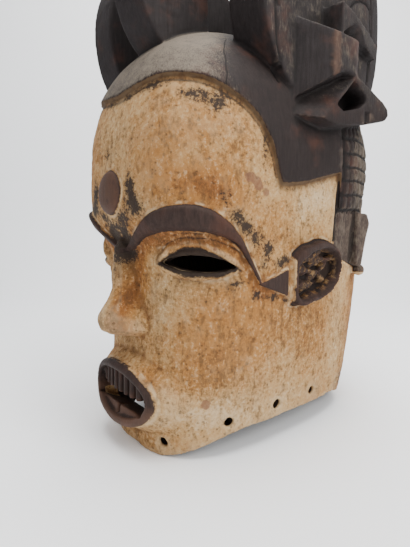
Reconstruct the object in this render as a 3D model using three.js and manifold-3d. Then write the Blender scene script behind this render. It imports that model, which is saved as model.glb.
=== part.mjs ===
// Janus helmet mask: one block of wood carved as a hollow head with two faces, under a lobed crest.
// Millimetres, +Z up. The first face looks along -Y and its left ear is on +X.
// The head is worked out around its own axis and is placed at the end, so that the
// bottom centre of the whole mask's bounding box is at the origin.
import * as THREE from 'three';
import { mergeVertices } from 'three/addons/utils/BufferGeometryUtils.js';
import Module from 'manifold-3d';

const wasm = await Module();
wasm.setup();

// Head: each profile is a list of [height, size], with a smooth curve through its points.
const HEAD_TOP = 421;
const HALF_WIDTHS = [
  [-30, 90], [0, 92], [60, 98], [190, 103], [290, 107],
  [335, 101], [368, 84], [394, 58], [411, 34], [421, 4],
];
const FRONT_DEPTHS = [
  [-30, 137], [0, 139], [40, 142], [140, 138], [190, 140], [240, 158],
  [290, 156], [335, 146], [368, 129], [394, 100], [411, 60], [421, 5],
];
const BACK_DEPTHS = [
  [-30, 139], [0, 142], [40, 152], [140, 164], [240, 165],
  [290, 162], [335, 150], [368, 124], [394, 90], [411, 58], [421, 5],
];
const SQUARENESS = [[-30, 2.8], [140, 3], [240, 3.2], [335, 3.2], [368, 3], [394, 2.6], [421, 2.4]];
const WALL = 13;
const CROWN_WALL = 20;
const HAIR_STEP = 4;

// Rim: level under each chin, and arched over the wearer's shoulders.
const SIDE_LIFT = 26;
const CHIN_ANGLE = 13;
const SHOULDER_ANGLE = 55;
const HOLE_RADIUS = 5;
const HOLE_ABOVE_RIM = 14;
const HOLE_ANGLES = [19, 44, 73, 108, 136, 161];

// Hairline of the first face, and of the second one, as [angle from the front, height].
const HAIRLINE = [
  [0, 339], [9, 341], [24, 346], [35, 343], [45, 333],
  [55, 317], [63, 292], [70, 259], [115, 275],
];
const SEAM_ANGLE = 115;
const SEAM_WIDTH = 5;
const SEAM_DEPTH = 8;
const SEAM_FOOT = 205;
const SEAM_HEAD = 330;
const BACK_HAIRLINE = [[115, 236], [136, 236], [144, 300], [152, 335], [168, 341], [180, 334]];

// Faces: lengths along a face are measured round the head from its middle line.
const FACE_ARC = 170;
const BACK_FACE_SPREAD = 0.66;
const BROW = { end: 178, innerZ: 199, apexS: 92, top: 238, bottom: 215, outerZ: 166, relief: 5 };
const EYE = { from: 66, to: 137, middle: 185, up: 8, down: 5 };
const LID = { from: 48, to: 152, middle: 186, half: 16, relief: 6 };
const NOSE = [
  [206, 4, 5], [196, 6, 13], [180, 7, 16], [160, 9, 19],
  [145, 12, 26], [132, 15, 34], [122, 14, 33], [114, 9, 22],
];
const NOSE_BASE = [[206, 5], [180, 12], [150, 22], [132, 31], [122, 33], [114, 24]];
const MOUTH = {
  middle: 57,
  halfWidth: 51,
  halfHeight: 26.5,
  lip: 4.8,
  topReach: 14.5,
  bottomReach: 16,
  bend: 0.0032,
  recess: 9,
  flare: 1.5,
};
const MOUTH_SLIT_SLOPE = 0.45;
const BOSS = { middle: 250, radius: 20, relief: 5 };
const EAR = { middleY: 18, middleZ: 174, rim: 6, outerX: 113 };
const EAR_REACH = [
  [-180, 41], [-161, 42.5], [-142, 48.4], [-114, 34], [-76, 29.8], [-35, 35.2], [-11, 41.8], [4, 44.1],
  [22, 42.2], [45, 36.8], [76, 32], [111, 31], [141, 38.4], [161, 42.4], [180, 41],
];

// Crest: two round side lobes, set one forward and one back, and a leaf over each face.
const LOBE = { radius: 104, leftSetBack: 38, rightSetForward: 20, middleZ: 428, innerX: 60, outerX: 105 };
const RIM_GROOVE = { inset: 15, width: 3, depth: 3 };
const LIMB_FRONT = { outward: [0.617, -0.535, 0.577], distance: 267 };
const LEAF = { middleY: -86, middleZ: 462, reachY: 56, reachZ: 84, halfWidth: 22, innerY: -57 };

// Facets flatter than this are merged, so that the solid stays light.
const SURFACE_TOLERANCE = 0.9;

const WOOD = new THREE.MeshStandardMaterial({ color: 0x8d7350, roughness: 0.8, metalness: 0 });

const radians = THREE.MathUtils.degToRad;
const { lerp, smoothstep } = THREE.MathUtils;

/** Smooth curve through [place, value] points that never overshoots them. */
function profile(points) {
  const count = points.length;
  const slopes = points.slice(1).map((p, i) => (p[1] - points[i][1]) / (p[0] - points[i][0]));
  const tangents = points.map((_, i) => {
    if (i === 0) return slopes[0];
    if (i === count - 1) return slopes[count - 2];
    const [before, after] = [slopes[i - 1], slopes[i]];
    return before * after <= 0 ? 0 : (2 * before * after) / (before + after);
  });
  return (place) => {
    const x = Math.min(Math.max(place, points[0][0]), points[count - 1][0]);
    let i = 0;
    while (i < count - 2 && x > points[i + 1][0]) i += 1;
    const span = points[i + 1][0] - points[i][0];
    const t = (x - points[i][0]) / span;
    const rise = points[i + 1][1] - points[i][1];
    const bend = tangents[i] * span;
    const endBend = tangents[i + 1] * span;
    return points[i][1] + t * (bend + t * (3 * rise - 2 * bend - endBend + t * (bend + endBend - 2 * rise)));
  };
}

const halfWidth = profile(HALF_WIDTHS);
const frontDepth = profile(FRONT_DEPTHS);
const backDepth = profile(BACK_DEPTHS);
const squareness = profile(SQUARENESS);
const hairline = profile(HAIRLINE);
const backHairline = profile(BACK_HAIRLINE);
const noseHalfRidge = profile(NOSE.map(([z, half]) => [z, half]).reverse());
const noseReach = profile(NOSE.map(([z, , reach]) => [z, reach]).reverse());
const noseHalfBase = profile([...NOSE_BASE].reverse());
const earReach = profile(EAR_REACH);

/** Point on the head at an angle from the front (radians, +X positive), a height and an offset outwards. */
function headPoint(angle, height, offset = 0) {
  const depth = Math.cos(angle) > 0 ? frontDepth(height) : backDepth(height);
  const power = squareness(height);
  const across = Math.abs(Math.sin(angle)) / Math.max(halfWidth(height) + offset, 1);
  const along = Math.abs(Math.cos(angle)) / Math.max(depth + offset, 1);
  const radius = (across ** power + along ** power) ** (-1 / power);
  return new THREE.Vector3(radius * Math.sin(angle), -radius * Math.cos(angle), height);
}

/** Height of the rim's underside at an angle from the front. */
function rimLift(angle) {
  const turned = Math.abs(Math.atan2(Math.sin(angle), Math.cos(angle)));
  const fromChin = Math.min(turned, Math.PI - turned);
  return SIDE_LIFT * smoothstep(fromChin, radians(CHIN_ANGLE), radians(SHOULDER_ANGLE));
}

/** Height of the hair's lower edge at an angle from the front. */
function hairEdge(angle) {
  const turned = THREE.MathUtils.radToDeg(Math.abs(Math.atan2(Math.sin(angle), Math.cos(angle))));
  return turned < SEAM_ANGLE ? hairline(turned) : backHairline(turned);
}

/** Closed manifold from a closed three.js geometry whose points are moved by a function. */
function shaped(geometry, move = (p) => p) {
  const bare = geometry.clone();
  bare.deleteAttribute('normal');
  bare.deleteAttribute('uv');
  const merged = mergeVertices(bare, 1e-5);
  const place = merged.attributes.position;
  const points = [];
  for (let i = 0; i < place.count; i += 1) {
    points.push(move(new THREE.Vector3().fromBufferAttribute(place, i)));
  }
  const corners = Array.from(merged.index.array);
  let volume = 0;
  for (let i = 0; i < corners.length; i += 3) {
    const [a, b, c] = [points[corners[i]], points[corners[i + 1]], points[corners[i + 2]]];
    volume += a.dot(b.clone().cross(c));
  }
  if (volume < 0) corners.reverse();
  const vertProperties = new Float32Array(points.flatMap((p) => [p.x, p.y, p.z]));
  return new wasm.Manifold(new wasm.Mesh({ numProp: 3, vertProperties, triVerts: new Uint32Array(corners) }));
}

/** The head's full outer form with its stepped hair, closed below by a level rim and a shallow cone. */
function headSolid() {
  const faceRows = 14;
  const hairRows = 12;
  const rows = faceRows + hairRows + 3;
  return shaped(new THREE.SphereGeometry(1, 64, rows), (p) => {
    const row = Math.round((Math.acos(THREE.MathUtils.clamp(p.y, -1, 1)) / Math.PI) * rows);
    if (row === 0) return new THREE.Vector3(0, 0, HEAD_TOP + HAIR_STEP);
    if (row === rows) return new THREE.Vector3(0, 0, SIDE_LIFT);
    const angle = Math.atan2(p.x, -p.z);
    const edge = hairEdge(angle);
    if (row <= hairRows) {
      const t = Math.sin((row / hairRows) * Math.PI / 2) ** 1.6;
      return headPoint(angle, lerp(HEAD_TOP - 1, edge, t), HAIR_STEP);
    }
    if (row === rows - 1) return headPoint(angle, 0, -WALL - 8).setZ(rimLift(angle));
    const t = (row - hairRows - 1) / (faceRows);
    const height = lerp(edge - 2, rimLift(angle), t);
    return headPoint(angle, height, 0);
  });
}

/** The hollow for the wearer's head, open below. */
function hollowSolid() {
  const rows = 12;
  return shaped(new THREE.SphereGeometry(1, 32, rows), (p) => {
    const row = Math.round((Math.acos(THREE.MathUtils.clamp(p.y, -1, 1)) / Math.PI) * rows);
    if (row === 0) return new THREE.Vector3(0, 0, HEAD_TOP - CROWN_WALL);
    if (row === rows) return new THREE.Vector3(0, 0, -30);
    const angle = Math.atan2(p.x, -p.z);
    const t = Math.sin((row / (rows - 1)) * Math.PI / 2) ** 1.3;
    const height = lerp(HEAD_TOP - CROWN_WALL - 1, -30, t);
    const deeper = CROWN_WALL * (Math.max(height, 0) / (HEAD_TOP - CROWN_WALL)) ** 3;
    return headPoint(angle, height + deeper, -WALL);
  });
}

/** One face's own frame: its front or back side and how far it spreads round the head. */
function faceFrame(isBack) {
  const spread = isBack ? BACK_FACE_SPREAD : 1;
  const toward = isBack ? 1 : -1;
  const depth = isBack ? backDepth : frontDepth;
  return {
    isBack,
    spread,
    onHead(s, z, offset) {
      const turn = (s / FACE_ARC) * spread;
      return headPoint(isBack ? Math.PI - turn : turn, z, offset);
    },
    ahead(x, z, reach) {
      return new THREE.Vector3(x, toward * (depth(z) + reach), z);
    },
    under(x, z, reach) {
      const power = squareness(z);
      const left = Math.max(1 - (Math.abs(x) / halfWidth(z)) ** power, 0) ** (1 / power);
      return new THREE.Vector3(x, toward * (depth(z) * left - reach), z);
    },
  };
}

/** Relief that follows the head between two edges, from `inner` below its surface to `outer` above it. */
function patch(face, side, { from, to, low, high, inner, outer, columns = 12, rows = 1 }) {
  return shaped(new THREE.BoxGeometry(1, 1, 1, columns, rows, 1), (p) => {
    const [u, v] = [p.x + 0.5, p.y + 0.5];
    const s = lerp(from, to, u);
    const z = lerp(low(s), high(s), v);
    return face.onHead(side * s, z, p.z < 0 ? inner : outer(u, v));
  });
}

/** Rounded relief height across a patch. */
const rounded = (height) => (u, v) => height * (1 - Math.abs(2 * v - 1) ** 3);

/** Raised brow: a crescent between two arcs that meet at its ends. */
function brow(face, side) {
  const arc = (apexZ, innerZ, outerPower) => (s) => {
    const { apexS, end, outerZ } = BROW;
    if (s < apexS) return apexZ - (apexZ - innerZ) * ((apexS - s) / apexS) ** 2;
    return apexZ - (apexZ - outerZ) * ((s - apexS) / (end - apexS)) ** outerPower;
  };
  return patch(face, side, {
    from: 3,
    to: BROW.end - 2,
    low: arc(BROW.bottom, BROW.innerZ - 2, 2.15),
    high: arc(BROW.top, BROW.innerZ, 2),
    inner: -6,
    outer: rounded(BROW.relief),
    columns: 18,
    rows: 3,
  });
}

/** Swelling of the lids round the eye slit. */
function lids(face, side) {
  const half = (s) => {
    const t = (2 * (s - LID.from)) / (LID.to - LID.from) - 1;
    return LID.half * Math.sqrt(Math.max(1 - t * t, 0.004));
  };
  return patch(face, side, {
    from: LID.from,
    to: LID.to,
    low: (s) => LID.middle - half(s),
    high: (s) => LID.middle + half(s),
    inner: -6,
    outer: (u, v) => LID.relief * (1 - (2 * v - 1) ** 2) * (1 - (2 * u - 1) ** 4) - 0.5,
    columns: 10,
    rows: 5,
  });
}

/** Cutter for the eye slit, through the wall. */
function eyeSlit(face, side) {
  const swell = (s) => {
    const t = (2 * (s - EYE.from)) / (EYE.to - EYE.from) - 1;
    return Math.max(1 - t * t, 0.04);
  };
  return patch(face, side, {
    from: EYE.from,
    to: EYE.to,
    low: (s) => EYE.middle - EYE.down * swell(s),
    high: (s) => EYE.middle + EYE.up * swell(s),
    inner: -3 * WALL,
    outer: () => 2 * WALL,
    columns: 12,
  });
}

/** Wedge nose with a rounded tip, merged into the forehead above. */
function nose(face) {
  const [top, bottom] = [NOSE[0][0], NOSE[NOSE.length - 1][0]];
  return shaped(new THREE.BoxGeometry(1, 1, 1, 6, 12, 1), (p) => {
    const z = lerp(bottom, top, p.y + 0.5);
    const across = 2 * p.x;
    const ridge = noseHalfRidge(z) * face.spread ** 0.5;
    const base = noseHalfBase(z) * face.spread ** 0.5;
    if (p.z < 0) return face.ahead(base * across, z, -14);
    const slope = Math.abs(across) > 0.5 ? (Math.abs(across) - 0.5) * 2 : 0;
    const x = Math.sign(across) * (slope > 0 ? lerp(ridge, base, slope) : 2 * ridge * Math.abs(across));
    const rounding = 1 - 0.16 * Math.min(1, Math.abs(across) * 2) ** 2;
    return face.ahead(x, z, lerp(noseReach(z) * rounding, -6, slope));
  });
}

/** How far the mouth stands out of the face at a height. */
function mouthReach(z) {
  const t = (z - MOUTH.middle) / MOUTH.halfHeight;
  return lerp(MOUTH.bottomReach, MOUTH.topReach, (t + 1) / 2);
}

/** Point on the mouth's curved front, at `x` across and height `z`. */
function mouthFront(face, x, z, reach) {
  const back = MOUTH.bend * x * x;
  return face.ahead(x, z, mouthReach(z) + reach - back);
}

/** Muzzle behind the lips: it swells out of the face round them. */
function muzzle(face) {
  return shaped(new THREE.CylinderGeometry(1, 1, 1, 32, 1), (p) => {
    const flare = p.y > 0 ? 1 : MOUTH.flare;
    const x = p.x * MOUTH.halfWidth * flare * face.spread ** 0.5;
    const z = MOUTH.middle + p.z * MOUTH.halfHeight * flare;
    return p.y > 0 ? mouthFront(face, x, z, 0) : face.under(x, z, 1);
  });
}

/** Lip ring that stands round the open mouth. */
function lips(face) {
  return shaped(new THREE.TorusGeometry(1, 0.2, 7, 28), (p) => {
    const round = Math.hypot(p.x, p.y);
    const [cos, sin] = [p.x / round, p.y / round];
    const out = ((round - 1) / 0.2) * MOUTH.lip;
    const x = cos * (MOUTH.halfWidth * face.spread ** 0.5 + out);
    const z = MOUTH.middle + sin * (MOUTH.halfHeight + out);
    return mouthFront(face, x, z, (p.z / 0.2) * MOUTH.lip);
  });
}

/** Cutter for the mouth's hollow, inside the lip ring. */
function mouthRecess(face) {
  return shaped(new THREE.CylinderGeometry(1, 1, 1, 28, 1), (p) => {
    const x = p.x * (MOUTH.halfWidth - 4) * face.spread ** 0.5;
    const z = MOUTH.middle + p.z * (MOUTH.halfHeight - 4);
    return mouthFront(face, x, z, p.y > 0 ? 20 : -MOUTH.recess);
  });
}

/** Block inside the mouth, from `x0` to `x1` across and between two heights, with its front at `reach`. */
function mouthBlock(face, x0, x1, low, high, reach, depth = 12) {
  return shaped(new THREE.BoxGeometry(1, 1, 1, 2, 1, 1), (p) => {
    const x = lerp(x0, x1, p.x + 0.5) * face.spread ** 0.5;
    const z = lerp(low(x), high(x), p.y + 0.5);
    return mouthFront(face, x, z, p.z < 0 ? reach - depth : reach);
  });
}

/** Upper teeth in a row, and two broad lower teeth with a gap at the middle. */
function teeth(face) {
  const [split, count] = [52, 9];
  const oval = (x, sign) => {
    const t = Math.min(Math.abs(x) / (MOUTH.halfWidth * face.spread ** 0.5), 0.98);
    return MOUTH.middle + sign * (MOUTH.halfHeight - 2) * Math.sqrt(1 - t * t);
  };
  const pitch = (2 * (MOUTH.halfWidth - 5)) / count;
  const blocks = [];
  for (let i = 0; i < count; i += 1) {
    const x = (i - (count - 1) / 2) * pitch;
    const [left, right] = [x - pitch * 0.38, x + pitch * 0.38];
    blocks.push(mouthBlock(face, left, right, () => split + 3, (at) => oval(at, 1), -2));
  }
  for (const side of [-1, 1]) {
    const ends = [side * 2, side * (MOUTH.halfWidth - 6)].sort((a, b) => a - b);
    blocks.push(mouthBlock(face, ends[0], ends[1], (at) => oval(at, -1), () => split - 4, -3));
  }
  return blocks;
}

/** Cutter for the slit between the teeth, through the wall; its foot falls inwards and lets light through. */
function mouthSlit(face) {
  const [half, front, depth] = [MOUTH.halfWidth - 8, 6, 60];
  return shaped(new THREE.BoxGeometry(1, 1, 1, 2, 1, 1), (p) => {
    const x = 2 * half * p.x * face.spread ** 0.5;
    const foot = p.z < 0 ? 48 - MOUTH_SLIT_SLOPE * depth : 48;
    return mouthFront(face, x, p.y < 0 ? foot : 55, p.z < 0 ? front - depth : front);
  });
}

/** Round boss on the forehead. */
function boss(face) {
  return shaped(new THREE.SphereGeometry(1, 24, 12), (p) => {
    const z = BOSS.middle + p.y * BOSS.radius;
    const x = p.x * BOSS.radius;
    return face.ahead(x, z, Math.sign(p.z) * Math.abs(p.z) ** 0.6 * BOSS.relief);
  });
}

/** D-shaped ear with a raised rim round a hollow. */
function ear(side) {
  const outline = (shrink) => {
    const steps = 26;
    const corners = [];
    for (let i = 0; i < steps; i += 1) {
      const degrees = lerp(-180, 180, i / steps);
      const reach = earReach(degrees) - shrink;
      const angle = radians(degrees);
      corners.push([EAR.middleY + reach * Math.cos(angle), EAR.middleZ + reach * Math.sin(angle)]);
    }
    return polygon(corners);
  };
  const slab = (shrink, from, to, bevel) => shaped(
    new THREE.ExtrudeGeometry(outline(shrink), {
      depth: to - from - (bevel > 0 ? bevel : 0),
      bevelEnabled: bevel > 0,
      bevelThickness: bevel,
      bevelSize: bevel,
      bevelOffset: -bevel,
      bevelSegments: 2,
    }),
    (p) => new THREE.Vector3(side * (from + p.z - 0.1 * (p.x - EAR.middleY)), p.x, p.y),
  );
  return slab(0, 88, EAR.outerX, 4).subtract(slab(EAR.rim, EAR.outerX - 11, EAR.outerX + 20, 0));
}

/** Pointer between the brow and the ear, and the strip in front of the ear. */
function templeMarks(face, side) {
  const pointer = patch(face, side, {
    from: 176,
    to: 224,
    low: (s) => lerp(164, 152, (s - 176) / 48),
    high: (s) => lerp(166, 175, (s - 176) / 48),
    inner: -6,
    outer: () => 4,
    columns: 4,
  });
  const strip = patch(face, side, {
    from: 228,
    to: 256,
    low: () => 141,
    high: () => 184,
    inner: -6,
    outer: (u) => 6 * Math.sin(Math.PI * lerp(0.15, 0.85, u)),
    columns: 4,
    rows: 2,
  });
  return pointer.add(strip);
}

/** Shape in the Y-Z plane as a slab between two X places. */
function slabAlongX(shape, x0, x1, bevel, bend = (p) => p) {
  const geometry = new THREE.ExtrudeGeometry(shape, {
    depth: x1 - x0 - 2 * bevel,
    bevelEnabled: bevel > 0,
    bevelThickness: bevel,
    bevelSize: bevel,
    bevelOffset: -bevel,
    bevelSegments: 1,
    curveSegments: 20,
  });
  return shaped(geometry, (p) => bend(new THREE.Vector3(x0 + bevel + p.z, p.x, p.y)));
}

/** Closed shape through [y, z] corners. */
function polygon(corners) {
  return new THREE.Shape(corners.map(([y, z]) => new THREE.Vector2(y, z)));
}

/** Side lobe of the crest, its middle `setBack` behind the head's axis, with its outer side's ornaments. */
function sideLobe(setBack) {
  const circle = (radius) => new THREE.Shape().absarc(setBack, LOBE.middleZ, radius, 0, 2 * Math.PI);
  const round = (p) => {
    const along = Math.abs(p.y - 8) / 190;
    return p.setX(p.x > LOBE.innerX + 20 ? p.x * (1 - along ** 3.2) ** (1 / 3.2) : p.x);
  };
  const ring = circle(LOBE.radius - RIM_GROOVE.inset);
  ring.holes.push(circle(LOBE.radius - RIM_GROOVE.inset - RIM_GROOVE.width));
  const groove = slabAlongX(ring, LOBE.outerX - RIM_GROOVE.depth, LOBE.outerX + 10, 0, round);
  const lobe = slabAlongX(circle(LOBE.radius), LOBE.innerX, LOBE.outerX, 5, round);
  return lobe.subtract(groove).add(cupHorn()).add(backHorn()).add(triangleLoop());
}

/** Slab on a plan outline of [x, y] corners, with its heights given at each x. */
function horn(corners, low, high) {
  const shape = polygon(corners);
  const geometry = new THREE.ExtrudeGeometry(shape, { depth: 1, bevelEnabled: false });
  return shaped(geometry, (p) => new THREE.Vector3(p.x, p.y, lerp(low(p.x, p.y), high(p.x, p.y), p.z)));
}

/** Large projection that sweeps out and back from the lobe's front. */
function cupHorn() {
  const outwards = (x) => (x - 98) / 32;
  const behind = (x, y) => Math.min(Math.max((89.4 - 0.683 * x + 0.73 * y) / 12, 0), 1);
  return horn(
    [[94, -34], [101, -28], [131, 0], [132, 14], [130.5, 36], [120, 52], [104, 64], [94, 64]],
    (x, y) => lerp(lerp(330, 353, outwards(x)), 362, behind(x, y)),
    (x) => lerp(411, 394, outwards(x)),
  );
}

/** Smaller pointed projection above and behind it. */
function backHorn() {
  return horn(
    [[94, 14], [104, 16], [126, 17], [124, 34], [108, 112], [94, 116]],
    (x, y) => lerp(392, 404, (y - 14) / 100),
    (x, y) => lerp(424, 416, (y - 14) / 100),
  );
}

/** Triangular loop below, open through its middle, its front limb cut to a slope. */
function triangleLoop() {
  const outer = polygon([
    [-38, 323], [10, 313], [106, 332], [106, 346],
    [40, 364], [30, 388], [-20, 380], [-38, 340],
  ]);
  const eye = [[11, 332], [39, 359], [60, 348], [60, 342], [51, 335], [22, 328]];
  outer.holes.push(new THREE.Path(eye.map(([y, z]) => new THREE.Vector2(y, z))));
  const inward = LIMB_FRONT.outward.map((part) => -part);
  return slabAlongX(outer, 92, 128, 2).trimByPlane(inward, -LIMB_FRONT.distance);
}

/** Leaf of the crest that leans forward over a face. */
function leaf() {
  const shape = new THREE.Shape();
  shape.absellipse(LEAF.middleY, LEAF.middleZ, LEAF.reachY, LEAF.reachZ, 0, 2 * Math.PI);
  const flatBack = (p) => p.setY(Math.min(p.y, LEAF.innerY));
  return slabAlongX(shape, -LEAF.halfWidth, LEAF.halfWidth, 4, flatBack);
}

/** Groove between the first face's side and the back hair, and the grid carved behind it. */
function hairGrooves(side) {
  const head = faceFrame(false);
  const along = (degrees) => radians(degrees) * FACE_ARC;
  const groove = (from, to, low, high, depth, columns, rows) => patch(head, side, {
    from,
    to,
    low,
    high,
    inner: -depth,
    outer: () => 14,
    columns,
    rows,
  });
  const middle = along(SEAM_ANGLE);
  const seamEnd = middle + SEAM_WIDTH * 1.4;
  const cuts = [groove(middle, seamEnd, () => SEAM_FOOT, () => SEAM_HEAD, SEAM_DEPTH, 1, 4)];
  for (let column = 1; column < 5; column += 1) {
    const place = middle + 9 + column * 12;
    cuts.push(groove(place, place + 2.6, () => 236, () => 322, -1, 1, 3));
  }
  for (let row = 1; row < 6; row += 1) {
    cuts.push(groove(middle + 8, middle + 72, () => 236 + row * 15, () => 238 + row * 15, -1, 5, 1));
  }
  return cuts;
}

/** Row of holes just above the rim. */
function rimHoles() {
  return HOLE_ANGLES.flatMap((degrees) => [-1, 1].map((side) => {
    const angle = side * radians(degrees);
    const height = rimLift(angle) + HOLE_ABOVE_RIM;
    const middle = headPoint(angle, height, -WALL / 2);
    const ahead = headPoint(angle + 0.02, height);
    const out = ahead.sub(headPoint(angle - 0.02, height)).cross(new THREE.Vector3(0, 0, 1));
    const turn = new THREE.Quaternion().setFromUnitVectors(new THREE.Vector3(0, 1, 0), out.normalize());
    const drill = new THREE.CylinderGeometry(HOLE_RADIUS, HOLE_RADIUS, 3 * WALL, 10);
    return shaped(drill, (p) => p.applyQuaternion(turn).add(middle));
  }));
}

/** Ear of the second face, seen edge-on from the side. */
function backEar(side) {
  const shape = polygon([[92, 176], [105, 172], [113, 206], [119, 222], [112, 234], [92, 236]]);
  const drop = new THREE.SphereGeometry(7, 12, 8);
  const bead = shaped(drop, (p) => p.add(new THREE.Vector3(side * 98, 110, 168)));
  return slabAlongX(shape, 82, 106, 3, (p) => p.setX(side * p.x)).add(bead);
}

/** Same manifold turned half round the head's axis. */
function turnedRound(solid) {
  return solid.rotate([0, 0, 180]);
}

/** The whole mask as one manifold. */
function maskSolid() {
  const parts = [headSolid()];
  const cuts = [...rimHoles()];
  for (const face of [faceFrame(false), faceFrame(true)]) {
    parts.push(nose(face), muzzle(face), boss(face));
    for (const side of [-1, 1]) {
      parts.push(brow(face, side), lids(face, side));
      cuts.push(eyeSlit(face, side));
      if (!face.isBack) parts.push(templeMarks(face, side));
    }
  }
  for (const side of [-1, 1]) {
    parts.push(ear(side), backEar(side));
    cuts.push(...hairGrooves(side));
  }
  parts.push(sideLobe(LOBE.leftSetBack), turnedRound(sideLobe(LOBE.rightSetForward)));
  parts.push(leaf(), turnedRound(leaf()));
  let mask = parts.reduce((sum, part) => sum.add(part));
  for (const face of [faceFrame(false), faceFrame(true)]) {
    mask = mask.add(lips(face)).subtract(mouthRecess(face));
    mask = teeth(face).reduce((sum, tooth) => sum.add(tooth), mask);
  }
  mask = mask.subtract(hollowSolid());
  for (const face of [faceFrame(false), faceFrame(true)]) mask = mask.subtract(mouthSlit(face));
  return cuts.reduce((rest, cut) => rest.subtract(cut), mask).asOriginal().simplify(SURFACE_TOLERANCE);
}

/** three.js geometry of a manifold. */
function toGeometry(solid) {
  const mesh = solid.getMesh();
  const geometry = new THREE.BufferGeometry();
  geometry.setAttribute('position', new THREE.Float32BufferAttribute(mesh.vertProperties, 3));
  geometry.setIndex(new THREE.Uint32BufferAttribute(mesh.triVerts, 1));
  geometry.computeVertexNormals();
  return geometry;
}

const mask = new THREE.Mesh(toGeometry(maskSolid()), WOOD);
mask.name = 'janus_helmet_mask';
mask.geometry.computeBoundingBox();
const box = mask.geometry.boundingBox;
mask.position.set(-(box.min.x + box.max.x) / 2, -(box.min.y + box.max.y) / 2, -box.min.z);

const group = new THREE.Group();
group.add(mask);
export default group;
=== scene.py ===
"""Janus helmet mask: one hollow block of wood with two whitened faces under a lobed crest.

The carving is worked out in millimetres round the head's own axis, with the first face
looking along -Y, and is moved into the row frame, in metres, at the end.
"""

import logging
import math
from dataclasses import dataclass, field
from enum import Enum
from typing import Callable, ClassVar, Sequence

import bmesh
import bpy
import numpy as np
from mathutils import Matrix, Vector


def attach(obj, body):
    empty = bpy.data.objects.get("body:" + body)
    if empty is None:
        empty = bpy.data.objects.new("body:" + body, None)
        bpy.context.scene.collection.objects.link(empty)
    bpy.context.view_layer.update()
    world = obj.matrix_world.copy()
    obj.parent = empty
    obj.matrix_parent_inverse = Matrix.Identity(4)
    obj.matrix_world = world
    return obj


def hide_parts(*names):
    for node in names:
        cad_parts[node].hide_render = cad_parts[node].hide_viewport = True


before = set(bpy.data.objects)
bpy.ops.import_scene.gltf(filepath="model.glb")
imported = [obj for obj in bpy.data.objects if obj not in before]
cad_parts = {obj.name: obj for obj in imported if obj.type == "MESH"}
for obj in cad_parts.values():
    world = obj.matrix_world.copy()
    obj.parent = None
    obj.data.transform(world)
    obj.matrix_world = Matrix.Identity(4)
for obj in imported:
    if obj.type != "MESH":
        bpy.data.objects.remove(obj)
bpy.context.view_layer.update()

LOG = logging.getLogger("mask")
Points = np.ndarray
Move = Callable[[np.ndarray], np.ndarray]

MILLIMETRE = 0.001
HEAD_AXIS_Y = -12.498
NODE = "janus_helmet_mask"
BODY = "root"
# Share of a display colour that a finish needs to look like it in the studio's light.
LIGHT_SHARE = 0.66
# Spread of the second face round the head, against the first.
SECOND_SPREAD = 0.66
# Distance given to points outside a zone's reach.
AWAY = -20.0
# Place of the groove below the hair's edge, and degrees from the front at which it ends.
HEM_LINE, HEM_SIDE = -6.3, 66.0
# Heights between which the eyes' folds lie.
EYE_BAND = (150.0, 226.0)
# Corners of the grooves on the lobes' outer sides, as [y, z].
LOBE_LINES = (
    ((58, 416), (64, 425), (75, 429), (89, 427), (104, 418), (109, 406), (106, 372)),
    ((63, 440), (72, 449), (83, 454), (97, 456), (106, 453), (109, 432)),
    ((113, 434), (113, 404), (109, 380)),
    ((-50, 412), (-49, 396), (-47, 378), (-42, 365), (-39, 350)),
    ((26, 462), (34, 478), (48, 488), (66, 488), (82, 478), (90, 464)),
)


class Side(Enum):
    """Side of the head, with the first face's left ear on +X."""

    LEFT = 1
    RIGHT = -1


class Cut(Enum):
    """How one carved form acts on another."""

    ADD = "UNION"
    TAKE = "DIFFERENCE"


def blend(a: Points, b: Points, t: Points) -> Points:
    """Straight mix of two values."""
    return a + (b - a) * t


def ease(value: Points, low: float, high: float) -> Points:
    """Smooth step from 0 at `low` to 1 at `high`."""
    t = np.clip((value - low) / (high - low), 0.0, 1.0)
    return t * t * (3.0 - 2.0 * t)


def hump(value: Points, middle: float, width: float) -> Points:
    """Bell of height 1 round a place.

    Args:
        value: Where the bell is read.
        middle: Its middle.
        width: Distance at which it has fallen to about a third.

    Returns:
        Height of the bell, from 0 to 1.
    """
    return np.exp(-(((value - middle) / width) ** 2))


def plateau(value: Points, rise: tuple[float, float], fall: tuple[float, float]) -> Points:
    """Smooth step up over one span and down again over another."""
    return ease(value, *rise) * (1 - ease(value, *fall))


def joined(*columns: Points) -> Points:
    """Joins columns into one row for each point."""
    return np.stack(columns, axis=1)


def on_disc(p: Points) -> tuple[Points, Points]:
    """Places of the unit square, moved onto the unit disc."""
    u, v = 2 * p[:, 0] - 1, 2 * p[:, 1] - 1
    return u * np.sqrt(1 - v * v / 2), v * np.sqrt(1 - u * u / 2)


def on_ball(p: Points, rings: int) -> tuple[Points, Points]:
    """Ring number from the top pole, and angle from the front, of a unit ball's points."""
    ring = np.round(np.arccos(np.clip(p[:, 2], -1, 1)) / math.pi * rings).astype(int)
    return ring, np.arctan2(p[:, 0], -p[:, 1])


def in_scene(name: str, data: bpy.types.ID) -> bpy.types.Object:
    """Makes an object and puts it in the scene.

    Args:
        name: Name of the object.
        data: Its mesh, lamp or camera.

    Returns:
        The object.
    """
    made = bpy.data.objects.new(name, data)
    bpy.context.scene.collection.objects.link(made)
    return made


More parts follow.
